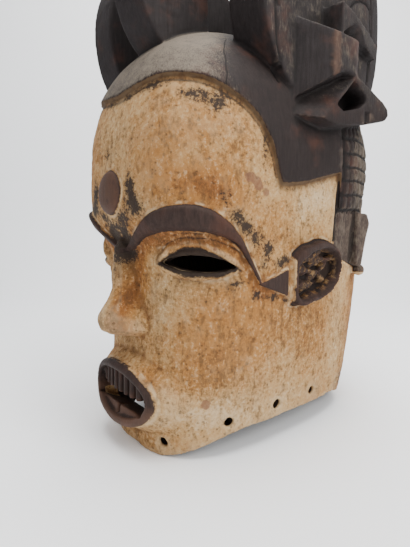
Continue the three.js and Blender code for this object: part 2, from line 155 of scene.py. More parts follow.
class Profile:
    """Smooth curve through [place, value] points that never overshoots them."""

    def __init__(self, points: Sequence[Sequence[float]]) -> None:
        """Works out the slope at each point.

        Args:
            points: The places and values, in either order of place.
        """
        ordered = sorted(points)
        self.places = np.array([p[0] for p in ordered], float)
        self.values = np.array([p[1] for p in ordered], float)
        slopes = np.diff(self.values) / np.diff(self.places)
        before, after = slopes[:-1], slopes[1:]
        with np.errstate(divide="ignore", invalid="ignore"):
            inner = np.where(before * after > 0, 2 * before * after / (before + after), 0.0)
        self.tangents = np.concatenate([slopes[:1], inner, slopes[-1:]])

    def __call__(self, place: Points) -> Points:
        """Reads the curve.

        Args:
            place: Places to read, held inside the first and last point.

        Returns:
            The values there.
        """
        x = np.clip(place, self.places[0], self.places[-1])
        i = np.clip(np.searchsorted(self.places, x, side="right") - 1, 0, len(self.places) - 2)
        span = self.places[i + 1] - self.places[i]
        t = (x - self.places[i]) / span
        rise = self.values[i + 1] - self.values[i]
        bend, end = self.tangents[i] * span, self.tangents[i + 1] * span
        return self.values[i] + t * (bend + t * (3 * rise - 2 * bend - end + t * (bend + end - 2 * rise)))


class Grain:
    """Smooth value noise that is the same in every run."""

    def __init__(self, seed: int) -> None:
        """Keeps the seed of the pattern."""
        self.seed = seed

    def corner(self, i: Points, j: Points, k: Points) -> Points:
        """Value at a lattice corner, from -1 to 1."""
        h = (i * 374761393 + j * 668265263 + k * 2147483647 + self.seed * 974634777) & 0x7FFFFFFF
        h = ((h ^ (h >> 13)) * 1274126177) & 0x7FFFFFFF
        h = (h ^ (h >> 16)) & 0xFFFFF
        return h / 524287.5 - 1.0

    def __call__(self, points: Points, size: float) -> Points:
        """Reads the noise.

        Args:
            points: Places, one row each.
            size: Distance between the pattern's humps.

        Returns:
            Values from -1 to 1.
        """
        scaled = points / size
        base = np.floor(scaled).astype(np.int64)
        f = scaled - base
        f = f * f * (3 - 2 * f)
        total = np.zeros(len(points))
        for dx in (0, 1):
            for dy in (0, 1):
                for dz in (0, 1):
                    weight = (
                        (f[:, 0] if dx else 1 - f[:, 0])
                        * (f[:, 1] if dy else 1 - f[:, 1])
                        * (f[:, 2] if dz else 1 - f[:, 2])
                    )
                    total += weight * self.corner(base[:, 0] + dx, base[:, 1] + dy, base[:, 2] + dz)
        return total


# Edges of the eye's rim, the fold above it and the lines cut round it, as height by arc length.
LID_TOP = Profile([
    [56, 183], [62, 187], [71, 192], [81, 197], [89, 200],
    [104, 200], [113, 197], [126, 192], [137, 185], [150, 179],
])
LID_FOOT = Profile([[56, 186], [65, 184], [80, 179], [92, 176], [125, 176], [137, 179], [150, 182]])
FOLD = Profile([
    [48, 180], [57, 188], [65, 195], [75, 202], [91, 206],
    [107, 205], [122, 199], [139, 191], [149, 183], [160, 172],
])
CREASE = Profile([[56, 192], [74, 205], [92, 209], [113, 208], [130, 203], [144, 197], [158, 185]])
LOW_CREASE = Profile([[54, 183], [67, 178], [81, 173], [107, 171], [127, 172], [140, 176], [154, 181]])


class Form:
    """A closed carved form that is being shaped."""

    def __init__(self, mesh: bmesh.types.BMesh, name: str) -> None:
        """Keeps the mesh and its name."""
        self.mesh = mesh
        self.name = name

    @staticmethod
    def thicken(mesh: bmesh.types.BMesh, height: float) -> None:
        """Extrudes flat faces upwards into a closed form."""
        grown = bmesh.ops.extrude_face_region(mesh, geom=mesh.faces[:], use_keep_orig=True)
        top = [v for v in grown["geom"] if isinstance(v, bmesh.types.BMVert)]
        bmesh.ops.translate(mesh, vec=(0, 0, height), verts=top)

    @classmethod
    def slab(cls, name: str, columns: int, rows: int) -> "Form":
        """Closed slab over the unit square, from z 0 to z 1.

        Args:
            name: Name of the form.
            columns: Faces along X.
            rows: Faces along Y.

        Returns:
            The slab.
        """
        mesh = bmesh.new()
        bmesh.ops.create_grid(mesh, x_segments=columns, y_segments=rows, size=0.5)
        cls.thicken(mesh, 1)
        bmesh.ops.translate(mesh, vec=(0.5, 0.5, 0), verts=mesh.verts[:])
        return cls(mesh, name)

    @classmethod
    def ball(cls, name: str, columns: int, rows: int) -> "Form":
        """Unit ball with its poles on Z."""
        mesh = bmesh.new()
        bmesh.ops.create_uvsphere(mesh, u_segments=columns, v_segments=rows, radius=1.0)
        return cls(mesh, name)

    @classmethod
    def prism(cls, name: str, corners: Sequence[Sequence[float]], height: float, bevel: float) -> "Form":
        """Upright prism on an outline, with worn edges.

        Args:
            name: Name of the form.
            corners: The outline's [x, y] corners.
            height: Height along Z.
            bevel: Width of the worn edge, or 0 for none.

        Returns:
            The prism.
        """
        mesh = bmesh.new()
        ring = [mesh.verts.new((x, y, 0.0)) for x, y in corners]
        bmesh.ops.contextual_create(mesh, geom=ring)
        cls.thicken(mesh, height)
        bmesh.ops.recalc_face_normals(mesh, faces=mesh.faces[:])
        if bevel > 0:
            bmesh.ops.bevel(
                mesh, geom=mesh.edges[:], offset=bevel, offset_type="OFFSET", affect="EDGES",
                segments=3, profile=0.5, material=-1, clamp_overlap=True,
            )
        return cls(mesh, name)

    @classmethod
    def ring(cls, name: str, radius: float, columns: int, rows: int) -> "Form":
        """Unit ring round Z, spun from a small circle.

        Args:
            name: Name of the form.
            radius: Radius of the small circle.
            columns: Steps round the ring.
            rows: Steps round the small circle.

        Returns:
            The ring.
        """
        mesh = bmesh.new()
        small = bmesh.ops.create_circle(mesh, segments=rows, radius=radius, cap_ends=False)
        upright = Matrix.Rotation(math.pi / 2, 3, "X")
        bmesh.ops.rotate(mesh, verts=small["verts"], cent=(0, 0, 0), matrix=upright)
        bmesh.ops.translate(mesh, verts=small["verts"], vec=(1, 0, 0))
        bmesh.ops.spin(
            mesh, geom=mesh.verts[:] + mesh.edges[:], cent=(0, 0, 0), axis=(0, 0, 1),
            angle=2 * math.pi, steps=columns, use_merge=True,
        )
        bmesh.ops.remove_doubles(mesh, verts=mesh.verts[:], dist=1e-4)
        return cls(mesh, name)

    def move(self, rule: Move) -> "Form":
        """Moves every point by a rule and turns the faces outwards."""
        places = np.array([v.co for v in self.mesh.verts], float)
        for vert, place in zip(self.mesh.verts, rule(places)):
            vert.co = place
        self.mesh.normal_update()
        bmesh.ops.recalc_face_normals(self.mesh, faces=self.mesh.faces[:])
        if self.mesh.calc_volume(signed=True) < 0:
            bmesh.ops.reverse_faces(self.mesh, faces=self.mesh.faces[:])
        return self

    def trimmed(self, outward: tuple, distance: float) -> "Form":
        """Cuts away what lies beyond a plane and closes the cut.

        Args:
            outward: Unit direction of the plane's outer side.
            distance: Its distance from the origin.

        Returns:
            The form, with its plane cut.
        """
        whole = self.mesh.verts[:] + self.mesh.edges[:] + self.mesh.faces[:]
        place = Vector(outward) * distance
        bmesh.ops.bisect_plane(self.mesh, geom=whole, plane_co=place, plane_no=outward, clear_outer=True)
        bmesh.ops.holes_fill(self.mesh, edges=[edge for edge in self.mesh.edges if edge.is_boundary])
        bmesh.ops.recalc_face_normals(self.mesh, faces=self.mesh.faces[:])
        return self

    def turned_round(self) -> "Form":
        """Copy turned half round the head's axis."""
        twin = self.mesh.copy()
        bmesh.ops.rotate(twin, verts=twin.verts[:], cent=(0, 0, 0), matrix=Matrix.Rotation(math.pi, 3, "Z"))
        return Form(twin, self.name + "_turned")

    def placed(self) -> bpy.types.Object:
        """Makes a Blender object of the form and frees the working mesh."""
        data = bpy.data.meshes.new(self.name)
        bmesh.ops.triangulate(self.mesh, faces=[f for f in self.mesh.faces if len(f.verts) > 4])
        self.mesh.to_mesh(data)
        self.mesh.free()
        return in_scene(self.name, data)


class Block:
    """The block being carved: a Blender object with forms added and taken away."""

    def __init__(self, first: Form) -> None:
        """Starts the block from one form."""
        self.object = first.placed()

    def settle(self) -> None:
        """Applies the block's modifiers to its mesh."""
        graph = bpy.context.evaluated_depsgraph_get()
        mesh = bpy.data.meshes.new_from_object(self.object.evaluated_get(graph), depsgraph=graph)
        worn = self.object.data
        self.object.modifiers.clear()
        self.object.data = mesh
        bpy.data.meshes.remove(worn)

    def carve(self, cut: Cut, *forms: Form) -> None:
        """Adds or takes forms, one after another.

        Args:
            cut: Whether the forms are added or taken away.
            forms: The forms, which are used up.
        """
        for form in forms:
            tool = form.placed()
            step = self.object.modifiers.new(cut.name, "BOOLEAN")
            step.operation = cut.value
            step.solver = "MANIFOLD"
            step.object = tool
            before = len(self.object.data.polygons)
            self.settle()
            if not len(self.object.data.polygons):
                raise RuntimeError(f"{form.name} left nothing of {before} faces")
            scrap = tool.data
            bpy.data.objects.remove(tool)
            bpy.data.meshes.remove(scrap)

    def even_out(self, voxel: float, softening: int) -> None:
        """Gives the block one even skin.

        Args:
            voxel: Size of the skin's faces in millimetres.
            softening: Rounds of smoothing, which wear the edges.
        """
        skin = self.object.modifiers.new("skin", "REMESH")
        skin.mode = "VOXEL"
        skin.voxel_size = voxel
        skin.use_smooth_shade = True
        soft = self.object.modifiers.new("soft", "SMOOTH")
        soft.factor = 0.5
        soft.iterations = softening
        self.settle()

    @staticmethod
    def read(source: bpy.types.bpy_prop_collection, name: str, width: int, kind: type) -> np.ndarray:
        """One property of every point or edge, one row each."""
        flat = np.empty(len(source) * width, kind)
        source.foreach_get(name, flat)
        return flat.reshape(-1, width)

    def points(self) -> Points:
        """Places of the mesh's points."""
        return self.read(self.object.data.vertices, "co", 3, np.float64)

    def normals(self) -> Points:
        """Outward directions at the mesh's points."""
        return self.read(self.object.data.vertex_normals, "vector", 3, np.float64)

    def neighbour_mean(self) -> Callable[[Points], Points]:
        """Prepares averaging over each point's neighbours.

        Returns:
            Rule that turns a value at each point into the mean of the points joined to it.
        """
        edges = self.read(self.object.data.edges, "vertices", 2, np.int64)
        ends = np.concatenate([edges, edges[:, ::-1]])
        count = len(self.object.data.vertices)
        number = np.bincount(ends[:, 0], minlength=count).clip(1)

        def mean(values: Points) -> Points:
            """Mean of the neighbours' values."""
            return np.bincount(ends[:, 0], weights=values[ends[:, 1]], minlength=count) / number

        return mean

    def shift(self, points: Points) -> None:
        """Puts the mesh's points at new places."""
        self.object.data.vertices.foreach_set("co", points.astype(np.float32).ravel())
        self.object.data.update()

    def thin_out(self, target: int, keep: Points) -> None:
        """Merges faces where the surface is plain.

        Args:
            target: Number of triangles to come down to.
            keep: How much each point's detail matters, from 0 to 1.
        """
        mesh = self.object.data
        mesh.calc_loop_triangles()
        count = len(mesh.loop_triangles)
        group = self.object.vertex_groups.new(name="keep")
        levels = 10
        for level in range(1, levels + 1):
            chosen = np.nonzero(np.round(keep * levels).astype(int) == level)[0]
            group.add(chosen.tolist(), level / levels, "REPLACE")
        thin = self.object.modifiers.new("thin", "DECIMATE")
        thin.ratio = min(1.0, target / count)
        thin.use_collapse_triangulate = True
        thin.vertex_group = group.name
        thin.invert_vertex_group = True
        thin.vertex_group_factor = 0.012
        self.settle()
        self.object.vertex_groups.clear()
        LOG.info("%d triangles thinned to %d", count, len(self.object.data.polygons))

    def mark(self, name: str, values: Points) -> None:
        """Stores one number at each point for the finish to read."""
        layer = self.object.data.attributes.new(name, "FLOAT", "POINT")
        layer.data.foreach_set("value", values.astype(np.float32))


@dataclass(frozen=True)
class Head:
    """The head's own form: sizes by height, in millimetres."""

    top: float = 421.0
    wall: float = 13.0
    crown_wall: float = 20.0
    hair_step: float = 4.0
    side_lift: float = 26.0
    chin_angle: float = 13.0
    shoulder_angle: float = 55.0
    seam_angle: float = 115.0
    arc: float = 170.0
    hole_degrees: tuple = (19, 44, 73, 108, 136, 161)
    hole_height: float = 14.0
    hole_radii: tuple = (4.6, 5.4)
    half_width: Profile = Profile([
        [-30, 90], [0, 92], [60, 98], [190, 103], [290, 107],
        [335, 101], [368, 84], [394, 58], [411, 34], [421, 4],
    ])
    front_depth: Profile = Profile([
        [-30, 137], [0, 139], [40, 142], [140, 138], [190, 140], [240, 158],
        [290, 156], [335, 146], [368, 129], [394, 100], [411, 60], [421, 5],
    ])
    back_depth: Profile = Profile([
        [-30, 139], [0, 142], [40, 152], [140, 164], [240, 165],
        [290, 162], [335, 150], [368, 124], [394, 90], [411, 58], [421, 5],
    ])
    squareness: Profile = Profile([
        [-30, 2.8], [140, 3], [240, 3.2], [335, 3.2], [368, 3], [394, 2.6], [421, 2.4],
    ])
    hairline: Profile = Profile([
        [0, 339], [9, 341], [24, 346], [35, 343], [45, 333], [55, 317], [63, 292], [70, 259], [115, 275],
    ])
    back_hairline: Profile = Profile([
        [115, 236], [136, 236], [144, 300], [152, 335], [168, 341], [180, 334],
    ])

    @property
    def seam_arc(self) -> float:
        """Arc length from the front at which the first face's side ends."""
        return math.radians(self.seam_angle) * self.arc

    def radius(self, angle: Points, height: Points, offset: float = 0.0) -> Points:
        """Distance of the head's surface from its axis.

        Args:
            angle: Angle from the front in radians, +X positive.
            height: Height above the table.
            offset: How far outside the surface.

        Returns:
            The distances.
        """
        depth = np.where(np.cos(angle) > 0, self.front_depth(height), self.back_depth(height))
        power = self.squareness(height)
        across = np.abs(np.sin(angle)) / np.maximum(self.half_width(height) + offset, 1)
        along = np.abs(np.cos(angle)) / np.maximum(depth + offset, 1)
        return (across**power + along**power) ** (-1 / power)

    def point(self, angle: Points, height: Points, offset: Points = 0.0) -> Points:
        """Points on the head, one row each."""
        reach = self.radius(angle, height, offset)
        return joined(reach * np.sin(angle), -reach * np.cos(angle), height + 0 * reach)

    def rim_lift(self, angle: Points) -> Points:
        """Height of the rim's underside at an angle from the front."""
        turned = np.abs(np.arctan2(np.sin(angle), np.cos(angle)))
        from_chin = np.minimum(turned, math.pi - turned)
        return self.side_lift * ease(np.degrees(from_chin), self.chin_angle, self.shoulder_angle)

    def hair_edge(self, angle: Points) -> Points:
        """Height of the hair's lower edge at an angle from the front."""
        turned = np.degrees(np.abs(np.arctan2(np.sin(angle), np.cos(angle))))
        return np.where(turned < self.seam_angle, self.hairline(turned), self.back_hairline(turned))

    def solid(self) -> Form:
        """The head's full outer form with its stepped hair, closed below."""
        face_rings, hair_rings = 64, 56
        rings = face_rings + hair_rings + 3

        def shape(p: Points) -> Points:
            """Places the ball's points on the hair, the face and the foot."""
            ring, angle = on_ball(p, rings)
            edge = self.hair_edge(angle)
            t = np.sin(np.clip(ring / hair_rings, 0, 1) * math.pi / 2) ** 1.6
            hair = self.point(angle, blend(self.top - 1, edge, t), self.hair_step)
            down = np.clip((ring - hair_rings - 1) / face_rings, 0, 1)
            face = self.point(angle, blend(edge - 1.2, self.rim_lift(angle), down), 0.0)
            foot = self.point(angle, 0 * angle, -self.wall - 8)
            foot[:, 2] = self.rim_lift(angle)
            out = np.where((ring <= hair_rings)[:, None], hair, face)
            out = np.where((ring == rings - 1)[:, None], foot, out)
            out[ring == 0] = (0, 0, self.top + self.hair_step)
            out[ring == rings] = (0, 0, self.side_lift)
            return out

        return Form.ball("head", 288, rings).move(shape)

    def hollow(self) -> Form:
        """The hollow for the wearer's head, open below."""
        rings, foot = 40, -30
        crown = self.top - self.crown_wall

        def shape(p: Points) -> Points:
            """Places the ball's points on the hollow's wall."""
            ring, angle = on_ball(p, rings)
            t = np.sin(np.clip(ring / (rings - 1), 0, 1) * math.pi / 2) ** 1.3
            height = blend(crown - 1, foot, t)
            deeper = self.crown_wall * (np.maximum(height, 0) / crown) ** 3
            out = self.point(angle, height + deeper, -self.wall)
            out[:, 2] = height
            out[ring == 0] = (0, 0, crown)
            out[ring == rings] = (0, 0, foot)
            return out

        return Form.ball("hollow", 96, rings).move(shape)

    def lacing_holes(self) -> list[Form]:
        """Drills for the row of holes just above the rim."""
        made = []
        inner, outer = self.hole_radii
        for degrees in self.hole_degrees:
            for side in (-1, 1):
                angle = np.array([side * math.radians(degrees)])
                height = self.rim_lift(angle) + self.hole_height
                middle = Vector(self.point(angle, height, -self.wall / 2)[0])
                along = Vector((self.point(angle + 0.02, height) - self.point(angle - 0.02, height))[0])
                out = along.cross(Vector((0, 0, 1))).normalized()
                mesh = bmesh.new()
                bmesh.ops.create_cone(
                    mesh, cap_ends=True, segments=24, radius1=inner, radius2=outer, depth=3 * self.wall,
                    matrix=Matrix.Translation(middle) @ out.to_track_quat("Z", "Y").to_matrix().to_4x4(),
                )
                made.append(Form(mesh, f"drill_{degrees}_{side}"))
        return made


@dataclass(frozen=True)
class Face:
    """One of the two faces, with lengths measured round the head from its middle line."""

    head: Head
    is_back: bool
    eye_from: float = 59.0
    eye_to: float = 143.0
    eye_middle: float = 184.8
    mouth_middle: float = 57.0
    mouth_width: float = 51.0
    mouth_height: float = 26.5
    mouth_bow: float = 0.0032
    lip: float = 4.8
    boss_height: float = 250.0
    boss_radius: float = 20.0
    brow_top: Profile = Profile([
        [3, 196], [10, 200], [40, 218], [58, 229], [79, 236], [96, 237.5],
        [112, 235], [130, 226], [146, 212], [161, 191], [178, 165],
    ])
    brow_foot: Profile = Profile([
        [3, 193], [21, 198], [46, 209], [57, 212], [80, 215], [98, 215],
        [120, 212], [133, 208], [143, 202], [152, 193], [161, 182], [170, 171], [178, 163],
    ])

    @property
    def spread(self) -> float:
        """How far the face spreads round the head, against the first one."""
        return SECOND_SPREAD if self.is_back else 1.0

    @property
    def narrowing(self) -> float:
        """Width of the nose and mouth against the first face's."""
        return self.spread**0.5

    @property
    def label(self) -> str:
        """Word that tells the face's pieces apart."""
        return "second" if self.is_back else "first"

    def on_head(self, s: Points, z: Points, offset: Points) -> Points:
        """Points at an arc length from the middle line, a height and an offset outwards."""
        turn = s / self.head.arc * self.spread
        return self.head.point(math.pi - turn if self.is_back else turn, z, offset)

    def ahead(self, x: Points, z: Points, reach: Points) -> Points:
        """Points across the face's middle, standing ahead of it by a reach."""
        toward = 1 if self.is_back else -1
        return joined(x + 0 * z, toward * (self.depth(z) + reach), z + 0 * x)

    def under(self, x: Points, z: Points, reach: Points) -> Points:
        """Points across the face on the head's own rounded surface, or behind it by a reach."""
        power = self.head.squareness(z)
        left = np.maximum(1 - (np.abs(x) / self.head.half_width(z)) ** power, 0) ** (1 / power)
        return self.ahead(x, z, self.depth(z) * (left - 1) - reach)

    def depth(self, z: Points) -> Points:
        """Distance of the face's middle line from the head's axis."""
        return (self.head.back_depth if self.is_back else self.head.front_depth)(z)

    def brow_edges(self, s: Points) -> tuple[Points, Points]:
        """Lower and upper edge of the brow at arc lengths."""
        return self.brow_foot(s), self.brow_top(s)

    def patch(
        self, name: str, side: Side, span: tuple[float, float], edges: Callable,
        outer: Callable, columns: int, rows: int, inner: float = -6,
    ) -> Form:
        """Relief that follows the head between two edges.

        Args:
            name: Name of the form.
            side: Side of the face.
            span: First and last arc length.
            edges: Heights of the lower and upper edge at arc lengths.
            outer: Offset of its shown side, from how far across and how far up.
            columns: Faces along it.
            rows: Faces across it.
            inner: Offset of its hidden side from the head's surface.

        Returns:
            The closed form.
        """

        def shape(p: Points) -> Points:
            """Places the slab's points between the edges."""
            s = blend(*span, p[:, 0])
            z = blend(*edges(s), p[:, 1])
            offset = np.where(p[:, 2] < 0.5, inner, outer(p[:, 0], p[:, 1]))
            return self.on_head(side.value * s, z, offset)

        return Form.slab(f"{name}_{self.label}", columns, rows).move(shape)

    def brow(self, side: Side) -> Form:
        """Raised brow: a crescent whose ends taper away."""
        return self.patch(
            "brow", side, (3, 176), self.brow_edges,
            lambda u, v: 5.4 * (1 - np.abs(2 * v - 1) ** 7) * (0.75 + 0.3 * v), 90, 14,
        )

    def lids(self, side: Side) -> Form:
        """Swelling of the lids round the eye slit."""
        start, end, middle = 48, 152, 188

        def edges(s: Points) -> tuple[Points, Points]:
            """Lower and upper edge of the swelling."""
            t = 2 * (s - start) / (end - start) - 1
            half = 17.5 * np.sqrt(np.maximum(1 - t * t, 0.004))
            return middle - half, middle + half

        return self.patch(
            "lids", side, (start, end), edges,
            lambda u, v: 6 * (1 - (2 * v - 1) ** 2) * (1 - (2 * u - 1) ** 4) - 0.5, 60, 20,
        )

    def eye_edges(self, s: Points) -> tuple[Points, Points]:
        """Lower and upper edge of the eye slit at arc lengths."""
        t = 2 * (s - self.eye_from) / (self.eye_to - self.eye_from) - 1
        swell = np.maximum(1 - t * t, 0.04)
        middle = self.eye_middle - 0.043 * (s - 100)
        return middle - 5.8 * swell, middle + 9.8 * swell

    def eye_slit(self, side: Side) -> Form:
        """Cutter for the eye slit, through the wall."""
        span = (self.eye_from, self.eye_to)
        return self.patch("eye_slit", side, span, self.eye_edges, lambda u, v: 26 + 0 * u, 48, 1, -39)

    def nose(self) -> Form:
        """Wedge nose with a rounded tip, merged into the forehead above."""
        foot, root = 114, 206
        ridge_at = Profile([
            [root, 4], [196, 6], [180, 7], [160, 9], [145, 12], [132, 15], [122, 14], [foot, 9],
        ])
        reach_at = Profile([
            [root, 5], [196, 13], [180, 16], [160, 19], [147, 25],
            [138, 31], [130, 34.5], [122, 32], [117, 25], [foot, 15],
        ])
        base_at = Profile([[root, 5], [180, 12], [150, 22], [132, 31], [122, 33], [foot, 24]])

        def shape(p: Points) -> Points:
            """Places the slab's points on the nose."""
            z = blend(foot, root, p[:, 1])
            across = 2 * p[:, 0] - 1
            part = np.abs(across)
            ridge, base = ridge_at(z) * self.narrowing, base_at(z) * self.narrowing
            slope = np.clip((part - 0.5) * 2, 0, 1)
            x = np.sign(across) * np.where(part > 0.5, blend(ridge, base, slope), 2 * ridge * part)
            crown = reach_at(z) * (1 - 0.2 * np.minimum(1, part * 2) ** 2)
            wing = 4.0 * hump(z, 124, 12) * hump(part, 0.76, 0.17)
            top = self.ahead(x, z, blend(crown, -6, slope**0.85) + wing)
            under = self.ahead(base * across, z, -14)
            return np.where((p[:, 2] < 0.5)[:, None], under, top)

        return Form.slab(f"nose_{self.label}", 40, 60).move(shape)

    def mouth_front(self, x: Points, z: Points, reach: Points) -> Points:
        """Points on the mouth's curved front."""
        t = (z - self.mouth_middle) / self.mouth_height
        ahead = blend(16, 14.5, (t + 1) / 2)
        return self.ahead(x, z, ahead + reach - self.mouth_bow * x * x)

    def disc(self, name: str, columns: int, rule: Callable[[Points, Points, Points], Points]) -> Form:
        """Closed drum over a unit disc.

        Args:
            name: Name of the form.
            columns: Faces across it.
            rule: Turns disc places and the drum's side, 0 hidden and 1 shown, into points.

        Returns:
            The drum.
        """
        drum = Form.slab(f"{name}_{self.label}", columns, columns)
        return drum.move(lambda p: rule(*on_disc(p), p[:, 2]))

    def muzzle(self) -> Form:
        """Swelling behind the lips, which runs out into the face round them."""
        wide = 1.62

        def rule(x: Points, z: Points, shown: Points) -> Points:
            """Places the drum's points on the swelling."""
            across = x * self.mouth_width * wide * self.narrowing
            height = self.mouth_middle + z * self.mouth_height * wide
            away = ease(np.hypot(x, z) * wide, 0.98, wide)
            front, side = self.mouth_front(across, height, 0), self.under(across, height, 1.5)
            shell = blend(front, side, away[:, None])
            return np.where((shown > 0.5)[:, None], shell, self.under(across, height, 11))

        return self.disc("muzzle", 48, rule)

    def lips(self) -> Form:
        """Lip ring that stands round the open mouth."""
        thickness = 0.2

        def shape(p: Points) -> Points:
            """Places the ring's points on the lips."""
            around = np.hypot(p[:, 0], p[:, 1])
            cos, sin = p[:, 0] / around, p[:, 1] / around
            out = (around - 1) / thickness
            x = cos * (self.mouth_width * self.narrowing + out * self.lip)
            z = self.mouth_middle + sin * (self.mouth_height + out * self.lip)
            return self.mouth_front(x, z, p[:, 2] / thickness * self.lip)

        return Form.ring(f"lips_{self.label}", thickness, 96, 16).move(shape)

    def mouth_recess(self) -> Form:
        """Cutter for the mouth's hollow, inside the lip ring."""
        inset = 4

        def rule(x: Points, z: Points, shown: Points) -> Points:
            """Places the drum's points in the mouth."""
            across = x * (self.mouth_width - inset) * self.narrowing
            height = self.mouth_middle + z * (self.mouth_height - inset)
            return self.mouth_front(across, height, blend(-11, 20, shown))

        return self.disc("mouth_recess", 28, rule)

    def mouth_block(
        self, name: str, ends: Sequence[float], low: Callable, high: Callable,
        reach: Callable, depth: float = 12, fall: float = 0.0,
    ) -> Form:
        """Block inside the mouth.

        Args:
            name: Name of the form.
            ends: Its two sides, across the mouth.
            low: Height of its foot at places across.
            high: Height of its head at places across.
            reach: How far its front stands from the mouth's front, from how far across and up.
            depth: How far it reaches back.
            fall: How far its foot falls towards the back.

        Returns:
            The block.
        """

        def shape(p: Points) -> Points:
            """Places the slab's points in the mouth."""
            x = blend(*ends, p[:, 0]) * self.narrowing
            z = blend(low(x), high(x), p[:, 1]) - fall * (1 - p[:, 1]) * (1 - p[:, 2])
            return self.mouth_front(x, z, np.where(p[:, 2] < 0.5, -depth, reach(p[:, 0], p[:, 1])))

        return Form.slab(f"{name}_{self.label}", 10, 12).move(shape)

    def teeth(self) -> list[Form]:
        """Upper teeth in a row, and two broad lower teeth with a gap at the middle."""
        split, count = 52.0, 9

        def oval(x: Points, sign: int) -> Points:
            """Height of the mouth's upper or lower edge."""
            t = np.minimum(np.abs(x) / (self.mouth_width * self.narrowing), 0.98)
            return self.mouth_middle + sign * (self.mouth_height - 2) * np.sqrt(1 - t * t)

        pitch = 2 * (self.mouth_width - 5) / count
        made = []
        for i in range(count):
            x = (i - (count - 1) / 2) * pitch
            tip = split + 2.8 + 1.2 * math.sin(5.0 * i + 1.0)
            made.append(self.mouth_block(
                f"upper_tooth_{i}", (x - pitch * 0.31, x + pitch * 0.31), lambda at, tip=tip: tip + 0 * at,
                lambda at: oval(at, 1), lambda u, v: -2.6 + 1.2 * v - 1.6 * (2 * u - 1) ** 2,
            ))
        for side in (-1, 1):
            made.append(self.mouth_block(
                f"lower_tooth_{side}", sorted((side * 1.8, side * (self.mouth_width - 6))),
                lambda at: oval(at, -1), lambda at: split - 3.5 - 0.002 * at * at,
                lambda u, v: -2.5 - 2.0 * v**3 + 0 * u,
            ))
        return made

    def mouth_slit(self) -> Form:
        """Cutter for the slit between the teeth, through the wall."""
        half = self.mouth_width - 8
        return self.mouth_block(
            "mouth_slit", (-half, half), lambda at: 48.0 - 0.002 * at * at, lambda at: 55.3 + 0 * at,
            lambda u, v: 6 + 0 * u, 60, 27,
        )

    def boss(self) -> Form:
        """Round boss on the forehead."""

        def shape(p: Points) -> Points:
            """Places the ball's points on the boss."""
            x = p[:, 0] * self.boss_radius
            z = self.boss_height + p[:, 2] * self.boss_radius
            bulge = -np.sign(p[:, 1]) * np.abs(p[:, 1]) ** 0.55
            return self.ahead(x, z, bulge * 5.4)

        return Form.ball(f"boss_{self.label}", 48, 24).move(shape)

    def pointer(self, side: Side) -> Form:
        """Triangle between the brow's end and the ear."""
        start, end = 175, 225

        def edges(s: Points) -> tuple[Points, Points]:
            """Lower and upper edge of the triangle."""
            t = (s - start) / (end - start)
            return blend(165.5, 152, t), blend(167, 178, t)

        return self.patch("pointer", side, (start, end), edges, lambda u, v: 4.2 + 0 * u, 24, 8)

    def temple_strip(self, side: Side) -> Form:
        """Upright strip in front of the ear."""

        def outer(u: Points, v: Points) -> Points:
            """Rounded front of the strip."""
            return 5.0 * np.sin(math.pi * blend(0.12, 0.88, u)) * (1 - 0.6 * np.abs(2 * v - 1) ** 3)

        def edges(s: Points) -> tuple[Points, Points]:
            """Lower and upper end of the strip."""
            return 143 + 0 * s, 184 + 0 * s

        return self.patch("temple_strip", side, (228, 252), edges, outer, 24, 16)


